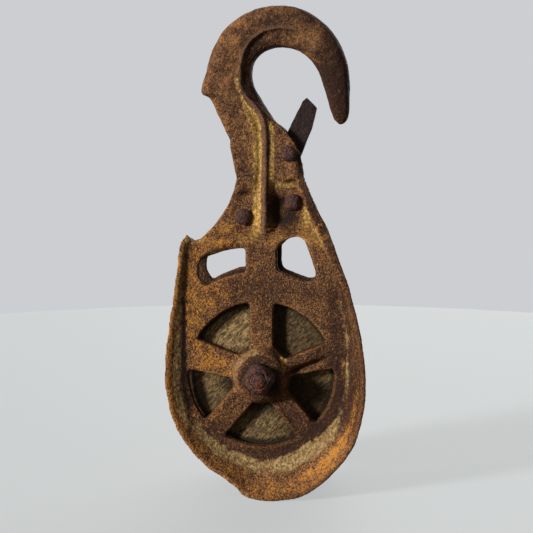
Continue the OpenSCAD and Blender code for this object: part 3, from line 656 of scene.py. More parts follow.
def colourCasting(piece, points, normal, seen, cavity, seed):
    # Writes the shares of paint, cream, bright rust, darker rust with painted shade, soot with painted
    # shadows, and wear with a painted sheen at each vertex. Seen holds the sheets' values there, and share
    # counts across the guard from its foot to its rim
    px, pz, pd = points.T
    r = np.hypot(px, pz)
    run, along = seen["run"], seen["along"]
    share = np.where(run > -5, run / seen["width"], -1)
    beside = px - np.interp(pz, bead[::-1, 1], bead[::-1, 0])
    streak = latticeNoise(run, along / 8, 0 * run, 1.7, seed + 5) \
        + 0.5 * latticeNoise(run, along / 3, 0 * run, 1.2, seed + 6)
    broken = latticeNoise(px, pz, 0 * px, 6, seed + 8) + 0.6 * latticeNoise(px, pz, 0 * px, 2.6, seed + 9)
    axes = {
        "x": px, "z": pz, "depth": pd, "r": r, "up": normal[:, 2], "slant": px - 0.25 * pz,
        "keyLitSide": (pz - px) / np.maximum(r, 1) / 1.41, "share": share, "streak": streak,
        "raggedIn": share + 0.05 * broken, "raggedOut": share + 0.07 * broken,
        "chipped": 0.88 + 0.2 * broken, "footLine": np.exp(-(share / 0.14) ** 2), "beside": beside,
        "bead": seen["bead"], "narrowing": seen["bead"] / (1 - 0.4 * smoothstep(196, 222, pz)),
        "window": np.abs(seen["window"]), "creaseLine": seen["creaseLine"], "creaseDark": seen["creaseDark"],
        "grooveLine": np.exp(-(seen["spokeGroove"] / 1.2) ** 2),
        "padLine": np.exp(-((seen["pad"] - 0.6) / 0.8) ** 2),
        "hollow": dimple(px, pz + 0.25 * (px - 13), (15, 126.5), (12.2, 13.5)) * smoothstep(1.5, 3, beside),
    }
    axes["upperRim"] = layered("upperRim", axes)
    front = smoothstep(-0.2, 0.3, normal[:, 2])
    bare = (1 - axes["hollow"]) * (1 - axes["upperRim"])
    addAttribute(piece, "soot_and_painted_shadow", np.clip(layered("soot_and_painted_shadow", axes), 0, 1))
    addAttribute(piece, "wear_and_painted_sheen", np.clip(layered("wear_and_painted_sheen", axes), 0, 1) * front)
    addAttribute(piece, "cavity", cavity)
    addAttribute(piece, "paint", np.clip(layered("paint", axes), 0, 1) * bare * front)
    addAttribute(piece, "cream", np.clip(layered("cream", axes) * front, 0, 1))
    addAttribute(piece, "orange", np.clip(layered("orange", axes), 0, 1.6) * front)
    addAttribute(piece, "shade_and_dark_rust", np.clip(layered("shade_and_dark_rust", axes), 0, 1))
    addAttribute(piece, "calm", np.maximum(smoothstep(196, 222, pz), 0.45 * smoothstep(128, 140, pz)))


def castingPiece(name, flare, horn, seed, mirror):
    # One casting as the zero surface of a field in mm, negative in the iron: plate, guard, boss and
    # hook are joined with smooth minima, then windows, bores and slot are cut. Lumps and grit move
    # the points along their normals, but not on the joint face or in the bolt's bore
    step = cast["step"]
    gx, gz, gd = (np.arange(*cast[side], step) for side in ("boxX", "boxZ", "boxDepth"))
    x, z = (v.astype(np.float32) for v in np.meshgrid(gx, gz, indexing="ij"))
    depth = gd.astype(np.float32)[None, None, :]
    outer = plateFace + (neckFace - plateFace) * smoothstep(*cast["shoulder"], z)
    inner = cast["gap"] * (1 - smoothstep(*cast["innerShoulder"], z))
    rows, width, wall = guardLines(flare, horn)
    body, sheets = plateShape(x, z, depth, outer, inner, rows, width, wall)
    guard, guardSheets = guardShape(x, z, depth, outer, inner, rows, width, wall, horn)
    body = smoothMin(body, guard, blend["guardFoot"])
    over = depth - plateFace
    cone = cast["bossBase"] + (cast["bossFace"] - cast["bossBase"]) * over / cast["bossHeight"]
    boss = smoothMax(flat(np.hypot(x, z)) - cone, over - cast["bossHeight"], blend["bossEdge"])
    body = smoothMin(body, np.maximum(boss, plateFace - 1.5 - depth), blend["bossFoot"])
    hook, hookSheets = hookShape(x, z, depth)
    body = smoothMin(body, hook, blend["hookFoot"])
    sheets["window"], wideWindows = windowSheets(x, z, horn)
    sheets.update(guardSheets)
    sheets.update(hookSheets)
    body = cutAway(body, x, z, depth, sheets["window"], wideWindows, horn)
    body[[0, -1]] = body[:, [0, -1]] = body[:, :, [0, -1]] = 5

    points, faces, cells = surfaceNets(body, (gx, gz, gd))
    # How enclosed each point is: the material paints shade where it is high and worn edges where it is low
    solid = blurred(blurred((body < 0).astype(np.float32), 3), 2)
    cavity = sum(solid[tuple(cells.T + np.array(corner)[:, None])] for corner in cubeCorners) / 8
    normal = vertexNormals(points, faces)
    px, pz, pd = points.T
    lump = latticeNoise(px, pz, pd, cast["lumpSize"], seed) \
        + 0.5 * latticeNoise(px, pz, pd, cast["fineLumpSize"], seed + 1)
    grit = latticeNoise(px, pz, pd, cast["gritSize"], seed + 2)
    free = smoothstep(0.2, 1.5, pd) * smoothstep(0.2, 1.4, np.hypot(px, pz) - cast["boltHole"])
    points = points + normal * ((cast["lump"] * lump + cast["grit"] * grit) * free)[:, None]
    place = toFrame(points[:, 0], points[:, 2], points[:, 1], mirror)
    piece = makeMesh(name, place, faces[:, ::mirror].tolist())
    last = [len(gx) - 1, len(gz) - 1]
    cell = np.clip(np.round((points[:, :2] - [gx[0], gz[0]]) / step).astype(int), 0, last)
    seen = {label: sheet[cell[:, 0], cell[:, 1]] for label, sheet in sheets.items()}
    colourCasting(piece, points, normal, seen, cavity, seed)
    log("%s: %d vertices, %d faces" % (name, len(points), len(faces)))
    return piece


frontCasting = castingPiece("front_casting_body", 1, True, 11, 1)
backCasting = castingPiece("back_casting_body", cast["backFlare"], False, 47, -1)


# Revolved pieces

def revolve(name, profile, centre, turns, bump, seed, squareTo=None):
    # A profile of radius and depth carried round an axis along Y through centre: x and z are
    # radius * cos and sin of the turn, moved by smooth noise. squareTo gives each profile point's n
    # and the corners' turn, and the radius is divided by the n-norm of the direction, so 2 is
    # round and 8 nearly square. A profile that ends where it starts closes into a ring
    profile = np.asarray(profile, float)
    angle = np.arange(turns) / turns * 2 * math.pi
    radius = np.repeat(profile[:, :1], turns, 1)
    depth = np.repeat(profile[:, 1:2], turns, 1)
    if squareTo is not None:
        n = np.asarray(squareTo[0], float)[:, None]
        local = angle[None, :] - math.radians(squareTo[1])
        radius = radius / (np.abs(np.cos(local)) ** n + np.abs(np.sin(local)) ** n) ** (1 / n)
    x, z = centre[0] + radius * np.cos(angle), centre[1] + radius * np.sin(angle)
    lump = latticeNoise(x, z, depth, 3.1, seed) + 0.6 * latticeNoise(x, z, depth, 1.3, seed + 1)
    scale = 1 + bump * lump / np.maximum(radius, 2)
    x, z = centre[0] + (x - centre[0]) * scale, centre[1] + (z - centre[1]) * scale
    fade = np.minimum(1, radius / 2)
    depth = depth + bump * 0.8 * latticeNoise(x, z, depth * 0 + 5, 2.7, seed + 2) * fade
    points = toFrame(x, depth, z).reshape(-1, 3)
    rows = len(profile)
    if np.allclose(profile[0], profile[-1], atol=1e-6):
        rows = rows - 1
        points = points[:rows * turns]
    return finishShell(makeMesh(name, points, gridFaces(len(profile) - 1, turns, rows)))


def gridFaces(strips, turns, rows):
    # One square face between neighbouring rings and turns, with both counts going round
    i, j = np.meshgrid(np.arange(strips), np.arange(turns), indexing="ij")
    ring, nextRing, nextTurn = i * turns, (i + 1) % rows * turns, (j + 1) % turns
    quads = np.stack([ring + j, nextRing + j, nextRing + nextTurn, ring + nextTurn], -1)
    return quads.reshape(-1, 4).tolist()


def finishShell(piece):
    # Welds the doubled points at the poles and turns all faces outwards
    mesh = bmesh.new()
    mesh.from_mesh(piece.data)
    bmesh.ops.remove_doubles(mesh, verts=mesh.verts, dist=1e-6)
    bmesh.ops.dissolve_degenerate(mesh, edges=mesh.edges, dist=1e-7)
    bmesh.ops.recalc_face_normals(mesh, faces=mesh.faces)
    mesh.to_mesh(piece.data)
    mesh.free()
    piece.data.update()
    return piece


def refined(corners, gap):
    # Points along a broken line, no further apart than gap, with the corners kept
    corners = np.asarray(corners, float)
    out = [corners[:1]]
    for a, b in zip(corners[:-1], corners[1:]):
        n = max(1, int(math.ceil(np.hypot(*(b - a)) / gap)))
        out.append(a + (b - a) * (np.arange(1, n + 1) / n)[:, None])
    return np.vstack(out)


def pointsOf(piece):
    places = np.zeros(len(piece.data.vertices) * 3)
    piece.data.vertices.foreach_get("co", places)
    return places.reshape(-1, 3)


def axleCoordinates(piece):
    # A piece's points as x and z in mm from the axle, and whether they are on the front half
    places = pointsOf(piece)
    return places[:, 0] * 1000 - axleAt[0], places[:, 2] * 1000 - axleAt[1], places[:, 1] < 0


wheel = {"rim": 58.2, "half": 16.0, "lip": 2.0, "grooveRadius": 12.5, "grooveDepth": 16.2,
         "bore": 13.05, "flange": 20.6, "seat": 15.0, "turns": 220, "wear": 0.088, "gap": 2.4}
bed = wheel["rim"] - wheel["grooveDepth"]
grooveArc = [[bed + wheel["grooveRadius"] * (1 - math.cos(a)), wheel["grooveRadius"] * math.sin(a)]
             for a in np.radians(np.linspace(-90, 90, 25))]
wheelSide = [[wheel["rim"] - 0.4, wheel["half"] - wheel["lip"]], [wheel["rim"], wheel["half"] - 1.2],
             [wheel["rim"] - 0.3, wheel["half"] - 0.4], [wheel["rim"] - 1.2, wheel["half"]],
             [wheel["flange"] + 0.3, wheel["half"]], [wheel["flange"], wheel["half"] - 0.2],
             [wheel["flange"], wheel["seat"]], [wheel["bore"], wheel["seat"]]]
wheelProfile = refined([[r, -d] for r, d in wheelSide[::-1]] + grooveArc + wheelSide
                       + [[wheel["bore"], -wheel["seat"]]], wheel["gap"])
woodWheel = revolve("wood_wheel", wheelProfile, (0, 0), wheel["turns"], wheel["wear"], 5)
# Painted shade with some grease darkens the wheel where it lies in shadow at rest: the lower part, the upper
# right beside the upright spoke, round the hub below and at the rim
woodX, woodZ, _ = axleCoordinates(woodWheel)
woodR = np.hypot(woodX, woodZ)
grease_and_painted_shade = smoothstep(16, -10, woodZ + 0.1 * woodX) * (0.45 + 0.5 * smoothstep(4, 30, woodX)) \
    + 0.75 * smoothstep(4, 20, woodX) * smoothstep(6, 20, woodZ) \
    + 0.6 * smoothstep(20, 15, woodX) * smoothstep(4, 9, woodX) * (woodZ > 0) \
    + 0.55 * smoothstep(38, 27, woodR) * smoothstep(6, -10, woodZ)
addAttribute(woodWheel, "grease_and_painted_shade", np.clip(np.maximum(grease_and_painted_shade, smoothstep(52.5, 54.5, woodR)), 0, 1))

nut = {"seat": 37.0, "top": 49.0, "half": 10.3, "turn": 55.0, "square": 3.4, "hole": 6.4, "wear": 0.9}
nutCorners = refined([
    [nut["hole"], nut["seat"]], [nut["half"] * 0.97, nut["seat"]], [nut["half"] * 1.02, nut["seat"] + 1.2],
    [nut["half"] * 1.02, nut["top"] - 4.5], [nut["half"] * 0.96, nut["top"] - 2.4],
    [nut["half"] * 0.86, nut["top"] - 0.2], [nut["hole"] + 0.4, nut["top"] + 1.2],
    [nut["hole"], nut["top"] + 1.1], [nut["hole"], nut["seat"]]], 0.9)
# The nut is round at its hole and squarer further out, but its worn top edge is rounder again
squareness = np.clip(np.interp(nutCorners[:, 0], [nut["hole"] + 0.8, 8.6], [2, nut["square"]]), 2, 9)
topSquareness = np.interp(nutCorners[:, 1], [nut["top"] - 2.4, nut["top"] - 0.2], [nut["square"], 2.6])
squareness = np.where(nutCorners[:, 1] > nut["top"] - 2.4, np.minimum(squareness, topSquareness), squareness)
axleNut = revolve("square_nut", nutCorners, (0, 0), 96, nut["wear"], 21, (squareness, nut["turn"]))

bolt = {"radius": 6.35, "pitch": 1.95, "thread": 0.35, "wear": 0.4, "headWear": 0.3, "headTurn": 55.0}
threadDepths = np.arange(40, 46, bolt["pitch"] / 4)
quarter = np.arange(len(threadDepths)) % 4
threadRadius = bolt["radius"] - 0.15 - bolt["thread"] * np.array([0, 0.5, 1, 0.5])[quarter]
boltProfile = np.vstack([
    [[0, -38.0], [bolt["radius"], -38.0]], refined([[bolt["radius"], -36.9], [bolt["radius"], 39.5]], 4),
    np.stack([threadRadius, threadDepths], 1), refined([[6.3, 46.5], [6.3, 49.4]], 0.8),
    [[6.15, 50.1], [5.6, 50.8], [4.7, 51.4], [3.6, 51.9], [2.4, 52.4], [1.2, 52.7], [0, 52.8]]])
shank = revolve("bolt_shank", boltProfile, (0, 0), 64, bolt["wear"], 33)
headProfile = [
    [0, -37.05], [4, -37.05], [8, -37.05], [10.1, -37.05], [10.5, -37.5], [10.6, -40], [10.6, -43.4],
    [10.2, -44.8], [9.0, -45.7], [7, -45.9], [4, -45.95], [2, -46], [0, -46]]
headSquare = [2, 3, 6, 9, 9, 9, 9, 7, 5, 3.5, 2.5, 2, 2]
boltHead = revolve("bolt_head", headProfile, (0, 0), 96, bolt["headWear"], 35,
                   (headSquare, bolt["headTurn"]))


def join(name, parts):
    # One mesh that holds the shells of all parts
    points, faces, start = [], [], 0
    for part in parts:
        points.append(pointsOf(part))
        faces += [[v + start for v in f.vertices] for f in part.data.polygons]
        start += len(points[-1])
        bpy.data.objects.remove(part)
    return makeMesh(name, np.vstack(points), faces)


axleBolt = join("axle_bolt_whole", [shank, boltHead])
# Orange rust comes through in one place on the nut and bolt, below the middle
for piece in (axleNut, axleBolt):
    spotX, spotZ, onFront = axleCoordinates(piece)
    spots = 2.6 * np.exp(-((spotX - 0.5) / 4) ** 2 - ((spotZ + 5.5) / 4.5) ** 2) * onFront
    addAttribute(piece, "spots", spots)


rivet = {"shank": 3.95, "domePower": 3.2, "domeShare": 0.86, "lift": 0.3, "seat": 0.02, "turns": 52,
         "wear": 0.6}


def rivetPiece(name, place, face, headRadius, headHeight, seed):
    # Two low domes on the faces at either side, joined by the shank: a dome's height falls with a
    # power of the distance from its centre, counted in head radii
    r = np.linspace(0, 1, 10)
    height = face + headHeight * (1 - r ** rivet["domePower"]) * rivet["domeShare"] + rivet["lift"]
    collar = face + rivet["seat"]
    half = np.vstack([np.stack([headRadius * r, height], 1),
                      [[headRadius, collar], [rivet["shank"], collar]]])
    rings = np.vstack([half, [[rivet["shank"], 0]], half[::-1] * [1, -1]])
    return revolve(name, rings, place, rivet["turns"], rivet["wear"], seed)


leftRivet = rivetPiece("left_rivet_body", frameRivets[0], 7, 6.5, 4.2, 61)
rightRivet = rivetPiece("right_rivet_body", frameRivets[1], 7, 6.5, 4.2, 64)
latchRivet = rivetPiece("latch_rivet_body", latchPivot, 11, 6.0, 2.9, 67)

tongue = {"half": 3.5, "eye": 8.8, "length": 44.5, "end": 10.6, "lean": 26.6, "bore": 4.12, "bevel": 0.7,
          "wear": 0.22, "pitting": 0.16}


def latchPiece():
    # The outline goes round the eye's lower half and the tongue's polygon in even steps. Rings of
    # it, drawn in towards the pivot, run from the bore out over one face, round the edge and back
    # over the other
    t = tongue
    e, n, h, bevel = t["eye"], t["length"], t["half"], t["bevel"]
    arc = np.radians(np.linspace(0, -180, 40))
    eyeArc = np.stack([e * np.cos(arc), e * np.sin(arc)], 1)
    corners = [[-e, n - 4], [1.5 - e, n], [1.5 - e + t["end"], n - 3.6], [e - 1.9, n - 19.5], [e, 3], [e, 0]]
    outline = refined(np.vstack([eyeArc, corners]), 0.7)[:-1]
    outline = 0.25 * np.roll(outline, 1, 0) + 0.5 * outline + 0.25 * np.roll(outline, -1, 0)
    radius = np.hypot(outline[:, 0], outline[:, 1])
    angle = np.arctan2(outline[:, 1], outline[:, 0])
    face = [(t["bore"] + (radius - bevel - t["bore"]) * share, h) for share in np.linspace(0, 1, 9)]
    edge = [(radius - bevel * 0.3, h - bevel * 0.3), (radius, h - bevel), (radius, 0),
            (radius, bevel - h), (radius - bevel * 0.3, bevel * 0.3 - h)]
    rings = face + edge + [(ring, -h) for ring, _ in face[::-1]]
    r = np.stack([ring for ring, _ in rings])
    depth = np.repeat([[float(height)] for _, height in rings], len(radius), 1)
    lean = math.radians(t["lean"])
    u, v = r * np.cos(angle), r * np.sin(angle)
    x = latchPivot[0] + u * math.cos(lean) + v * math.sin(lean)
    z = latchPivot[1] + v * math.cos(lean) - u * math.sin(lean)
    loose = t["wear"] * smoothstep(5, 9, r)
    x = x + loose * latticeNoise(x, z, depth, 4, 71)
    z = z + loose * latticeNoise(x, z, depth, 4, 72)
    pitted = (0.5 + 0.5 * latticeNoise(x, z, depth, 2.6, 73)) * (np.abs(depth) > 2)
    depth = depth - t["pitting"] * np.sign(depth) * pitted
    faces = gridFaces(len(rings), len(radius), len(rings))
    return finishShell(makeMesh("latch_tongue", toFrame(x, depth, z).reshape(-1, 3), faces))


latchTongue = latchPiece()
log("fasteners, wheel and latch are made")


# Materials

def feed(tree, socket, value):
    # Links another node's output to a socket, or sets the socket's own value
    if isinstance(value, bpy.types.NodeSocket):
        tree.links.new(value, socket)
    else:
        socket.default_value = value


def shaderNode(tree, kind, inputs=None, **settings):
    node = tree.nodes.new(kind)
    for key, value in settings.items():
        setattr(node, key, value)
    for key, value in (inputs or {}).items():
        feed(tree, node.inputs[key], value)
    return node


def maths(tree, operation, a, b):
    return shaderNode(tree, "ShaderNodeMath", {0: a, 1: b}, operation=operation).outputs[0]


def plus(tree, a, b):
    return maths(tree, "ADD", a, b)


def minus(tree, a, b):
    return maths(tree, "SUBTRACT", a, b)


def times(tree, a, b):
    return maths(tree, "MULTIPLY", a, b)


def varied(tree, total, value, weight):
    # Adds what a noise differs from its middle, times a weight
    return plus(tree, total, times(tree, minus(tree, value, 0.5), weight))


def ranged(tree, value, low, high, outLow=0.0, outHigh=1.0):
    return shaderNode(tree, "ShaderNodeMapRange", {
        "Value": value, "From Min": low, "From Max": high, "To Min": outLow, "To Max": outHigh},
        interpolation_type="SMOOTHSTEP").outputs["Result"]


def mixed(tree, factor, a, b, blendType="MIX"):
    return shaderNode(tree, "ShaderNodeMix", {0: factor, 6: a, 7: b}, data_type="RGBA",
                      blend_type=blendType, clamp_factor=True).outputs[2]


def noise(tree, vector, scale, detail, roughness, warp=0.0):
    return shaderNode(tree, "ShaderNodeTexNoise", {
        "Vector": vector, "Scale": scale, "Detail": detail, "Roughness": roughness,
        "Distortion": warp}).outputs["Fac"]


def nodeGroup(name, inputs, outputs):
    group = bpy.data.node_groups.new(name, "ShaderNodeTree")
    for label, kind, value in inputs:
        socket = group.interface.new_socket(label, in_out="INPUT", socket_type="NodeSocket" + kind)
        if value is not None:
            socket.default_value = value
    for label, kind in outputs:
        group.interface.new_socket(label, in_out="OUTPUT", socket_type="NodeSocket" + kind)
    return group, group.nodes.new("NodeGroupInput").outputs, group.nodes.new("NodeGroupOutput").inputs


def rustGroup():
    # Mottled rust: blotches, patches and grains add up to a tone that chooses between three
    # browns, bright rust breaks through in small flecks where its share is high, pale and purple
    # specks of about a millimetre lie over all of it, and the Shade input, which carries painted shade
    # and darker rust, darkens it. Calm evens it out
    group, given, out = nodeGroup("rustSkin", [
        ("Vector", "Vector", None), ("Dark", "Color", linear(50, 31, 22)),
        ("Middle", "Color", linear(100, 67, 44)), ("Light", "Color", linear(154, 106, 62)),
        ("Bright", "Color", linear(190, 126, 48)), ("Bright Share", "Float", 0.0),
        ("Pale", "Color", linear(200, 156, 98)), ("Purple", "Color", linear(48, 29, 25)),
        ("Shade", "Float", 0.0), ("Calm", "Float", 0.0), ("Blotch Scale", "Float", 60.0)],
        [("Color", "Color"), ("Height", "Float"), ("Grain", "Float")])
    v, shade_and_dark_rust, calm = given["Vector"], given["Shade"], given["Calm"]
    blotch = noise(group, v, given["Blotch Scale"], 5, 0.62, 0.3)
    grain = noise(group, v, 760.0, 3, 0.75)
    patches = noise(group, v, 330.0, 3, 0.7)
    lively = minus(group, 1.0, times(group, calm, 0.5))
    tone = varied(group, 0.52, blotch, plus(group, 0.65, times(group, calm, 0.9)))
    tone = varied(group, varied(group, tone, grain, times(group, lively, 2.6)), patches, 0.7)
    tone = minus(group, tone, times(group, shade_and_dark_rust, 0.36))
    color = mixed(group, ranged(group, tone, 0.24, 0.54), given["Dark"], given["Middle"])
    color = mixed(group, ranged(group, tone, 0.5, 0.84), color, given["Light"])
    breaking = times(group, given["Bright Share"], 0.24)
    breaking = varied(group, breaking, noise(group, v, 560.0, 3, 0.8, 0.3), 1.9)
    breaking = varied(group, breaking, noise(group, v, 130.0, 3, 0.65), 1.0)
    breaking = minus(group, breaking, times(group, calm, 0.12))
    color = mixed(group, ranged(group, breaking, 0.18, 0.46, 0, 0.95), color, given["Bright"])
    pale = ranged(group, noise(group, v, 1000.0, 2, 0.7), 0.56, 0.68)
    pale = times(group, times(group, pale, ranged(group, tone, 0.35, 0.65, 0, 0.75)), lively)
    color = mixed(group, pale, color, given["Pale"])
    purple = ranged(group, noise(group, v, 640.0, 3, 0.75), 0.46, 0.34, 0, 0.75)
    color = mixed(group, purple, color, given["Purple"])
    feed(group, out["Color"], mixed(group, times(group, shade_and_dark_rust, 0.5), color, given["Dark"]))
    feed(group, out["Height"], plus(group, times(group, grain, 0.8), times(group, patches, 1.2)))
    feed(group, out["Grain"], grain)
    return group


def paintGroup():
    # Worn paint: the share from the piece is broken up by noise into a soft-edged mask, and dirt
    # darkens the paint in its own small spots
    group, given, out = nodeGroup("wornPaint", [
        ("Vector", "Vector", None), ("Base", "Color", None), ("Paint", "Color", linear(176, 136, 72)),
        ("Dirt", "Color", linear(104, 70, 38)), ("Share", "Float", 0.0)],
        [("Color", "Color"), ("Mask", "Float")])
    v, share = given["Vector"], given["Share"]
    level = varied(group, share, noise(group, v, 190.0, 6, 0.75, 0.4), 1.6)
    level = varied(group, level, noise(group, v, 70.0, 3, 0.5), 1.0)
    mask = times(group, ranged(group, level, 0.3, 0.95, 0, 0.92), ranged(group, share, 0.02, 0.25))
    grime = ranged(group, noise(group, v, 420.0, 4, 0.75), 0.4, 0.66, 0.85, 0.0)
    coat = mixed(group, grime, given["Paint"], given["Dirt"])
    feed(group, out["Color"], mixed(group, mask, given["Base"], coat))
    feed(group, out["Mask"], mask)
    return group


rust, worn = rustGroup(), paintGroup()


def attribute(tree, name):
    return shaderNode(tree, "ShaderNodeAttribute", attribute_name=name).outputs["Fac"]


def startMaterial(name, specular):
    material = bpy.data.materials.new(name)
    material.use_nodes = True
    tree = material.node_tree
    tree.nodes.clear()
    output = tree.nodes.new("ShaderNodeOutputMaterial")
    surface = tree.nodes.new("ShaderNodeBsdfPrincipled")
    tree.links.new(surface.outputs[0], output.inputs[0])
    surface.inputs["Specular IOR Level"].default_value = specular
    coords = tree.nodes.new("ShaderNodeTexCoord").outputs["Object"]
    return material, tree, surface.inputs, coords


def addBump(tree, surface, height, distance):
    bump = shaderNode(tree, "ShaderNodeBump", {"Strength": 1.0, "Distance": distance, "Height": height})
    tree.links.new(bump.outputs["Normal"], surface["Normal"])


# The hollow tint paints shade in hollows, the soot tint also paints shadows, and the sheen tint is a painted
# highlight on the bead and crease besides the worn rim
castingTints = {"cream": linear(190, 162, 108), "paint": linear(226, 182, 98), "hollow_shade": linear(30, 20, 17),
                "wear_and_painted_sheen": linear(98, 72, 60), "soot_and_painted_shadow": linear(20, 13, 12), "wornEdges": linear(160, 106, 60)}


def castingMaterial(name, tints):
    # Rust under two coats of paint, then painted shade in the hollows, a painted sheen with worn rims, soot
    # with painted shadows, and bright worn edges
    material, tree, surface, coords = startMaterial(name, 0.1)
    cavity, wear_and_painted_sheen = attribute(tree, "cavity"), attribute(tree, "wear_and_painted_sheen")
    skin = shaderNode(tree, "ShaderNodeGroup", {
        "Vector": coords, "Bright Share": attribute(tree, "orange"), "Shade": attribute(tree, "shade_and_dark_rust"),
        "Calm": attribute(tree, "calm")}, node_tree=rust).outputs
    layer, masks = skin["Color"], []
    for coatName in ("cream", "paint"):
        coat = shaderNode(tree, "ShaderNodeGroup", {
            "Paint": tints[coatName], "Vector": coords, "Base": layer,
            "Share": attribute(tree, coatName)}, node_tree=worn).outputs
        layer = coat["Color"]
        masks.append(coat["Mask"])
    # Painted shade where the surface is enclosed
    layer = mixed(tree, ranged(tree, cavity, 0.56, 0.86, 0, 0.75), layer, tints["hollow_shade"])
    # A pale worn rim, and a painted highlight on the bead's crest and the hook's crease
    layer = mixed(tree, times(tree, wear_and_painted_sheen, 0.62), layer, tints["wear_and_painted_sheen"])
    # Soot, with painted shadows in the pit, the grooves and the corners
    layer = mixed(tree, times(tree, attribute(tree, "soot_and_painted_shadow"), 0.92), layer, tints["soot_and_painted_shadow"])
    edges = times(tree, ranged(tree, cavity, 0.42, 0.26), ranged(tree, skin["Grain"], 0.35, 0.6, 0, 0.4))
    feed(tree, surface["Base Color"], mixed(tree, edges, layer, tints["wornEdges"]))
    rough = ranged(tree, skin["Grain"], 0.3, 0.7, 0.5, 0.82)
    feed(tree, surface["Roughness"], minus(tree, rough, times(tree, wear_and_painted_sheen, 0.12)))
    addBump(tree, surface, plus(tree, skin["Height"], times(tree, plus(tree, *masks), 0.25)), 0.0012)
    return material


# The tints of the plain irons, from dark to pale, the share of bright rust and the roughness
ironTints = {
    "fastenerRust": [(38, 23, 22), (70, 43, 37), (104, 70, 58), (170, 86, 34), (128, 92, 74), -0.25, 0.5],
    "latchRust": [(24, 15, 13), (42, 27, 22), (62, 42, 34), (96, 56, 34), (76, 54, 44), -0.2, 0.55],
    "bushRust": [(38, 26, 24), (66, 46, 38), (92, 66, 52), (120, 70, 40), (120, 90, 70), 0.1, 0.5],
}


def ironMaterial(name):
    material, tree, surface, coords = startMaterial(name, 0.22)
    *tints, share, rough = ironTints[name]
    labels = ("Dark", "Middle", "Light", "Bright", "Pale")
    inputs = {label: linear(*tint) for label, tint in zip(labels, tints)}
    inputs.update({"Vector": coords, "Blotch Scale": 170.0})
    inputs["Bright Share"] = plus(tree, times(tree, attribute(tree, "spots"), 0.6), share)
    skin = shaderNode(tree, "ShaderNodeGroup", inputs, node_tree=rust).outputs
    feed(tree, surface["Base Color"], skin["Color"])
    feed(tree, surface["Roughness"], ranged(tree, skin["Grain"], 0.3, 0.7, rough, rough + 0.3))
    addBump(tree, surface, skin["Height"], 0.0016)
    return material


# The grease tint darkens the wood for grease and for painted shade
woodTints = {"groove": linear(68, 51, 28), "ridge": linear(168, 134, 86), "pale": linear(206, 176, 120),
             "check": linear(48, 36, 22), "grey": linear(84, 74, 50), "speck": linear(52, 39, 25),
             "grease_and_painted_shade": linear(104, 98, 88)}


def woodMaterial(name, tints):
    # Weathered wood: long streaks along the grain, which climbs to the right, split by dark
    # checks, with grey patches, dark specks, and the grease and painted shade that the piece gives
    material, tree, surface, coords = startMaterial(name, 0.25)
    grain = coords
    for change in ({"Rotation": (0, math.radians(48), 0)}, {"Scale": (0.28, 1, 1)}):
        grain = shaderNode(tree, "ShaderNodeMapping", {"Vector": grain, **change}).outputs["Vector"]
    streak, fine = noise(tree, grain, 640.0, 3, 0.75, 0.3), noise(tree, grain, 1100.0, 2, 0.7)
    color = mixed(tree, ranged(tree, streak, 0.34, 0.66), tints["groove"], tints["ridge"])
    color = mixed(tree, ranged(tree, fine, 0.52, 0.7, 0, 0.7), color, tints["pale"])
    color = mixed(tree, ranged(tree, fine, 0.46, 0.3, 0, 0.5), color, tints["check"])
    patch = ranged(tree, noise(tree, coords, 60.0, 4, 0.6), 0.48, 0.68, 0, 0.7)
    color = mixed(tree, patch, color, tints["grey"])
    speck = ranged(tree, noise(tree, coords, 520.0, 3, 0.75), 0.48, 0.36, 0, 0.75)
    color = mixed(tree, speck, color, tints["speck"])
    # Grease and painted shade from the piece darken the wood
    color = mixed(tree, attribute(tree, "grease_and_painted_shade"), color, tints["grease_and_painted_shade"], "MULTIPLY")
    feed(tree, surface["Base Color"], color)
    surface["Roughness"].default_value = 0.88
    addBump(tree, surface, plus(tree, streak, times(tree, fine, 0.7)), 0.0009)
    return material


castIron = castingMaterial("rustyCasting", castingTints)
fastenerIron, latchIron, bushIron = (ironMaterial(name) for name in ironTints)
oldWood = woodMaterial("weatheredWood", woodTints)


def dress(piece, material):
    piece.data.materials.clear()
    piece.data.materials.append(material)


pieces = [
    (frontCasting, castIron, "frame", "front_cheek", "casting"),
    (backCasting, castIron, "frame", "back_cheek", "casting"),
    (woodWheel, oldWood, "wheel", "sheave", "wheel_wood"),
    (axleNut, fastenerIron, "frame", "axle_nut", "fastener_iron"),
    (axleBolt, fastenerIron, "frame", "axle_bolt", "fastener_iron"),
    (leftRivet, fastenerIron, "frame", "left_frame_rivet", "fastener_iron"),
    (rightRivet, fastenerIron, "frame", "right_frame_rivet", "fastener_iron"),
    (latchRivet, fastenerIron, "frame", "latch_rivet", "fastener_iron"),
    (latchTongue, latchIron, "latch", "latch", "latch_iron")]
for piece, material, bodyName, node, slotName in pieces:
    dress(piece, material)
    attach(piece, bodyName)
    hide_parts(node)
for node in ("front_bush", "back_bush", "bush_rivets", "axle_sleeve"):
    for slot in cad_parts[node].material_slots:
        slot.material = bushIron
log("materials are on")


# Floor, light and camera

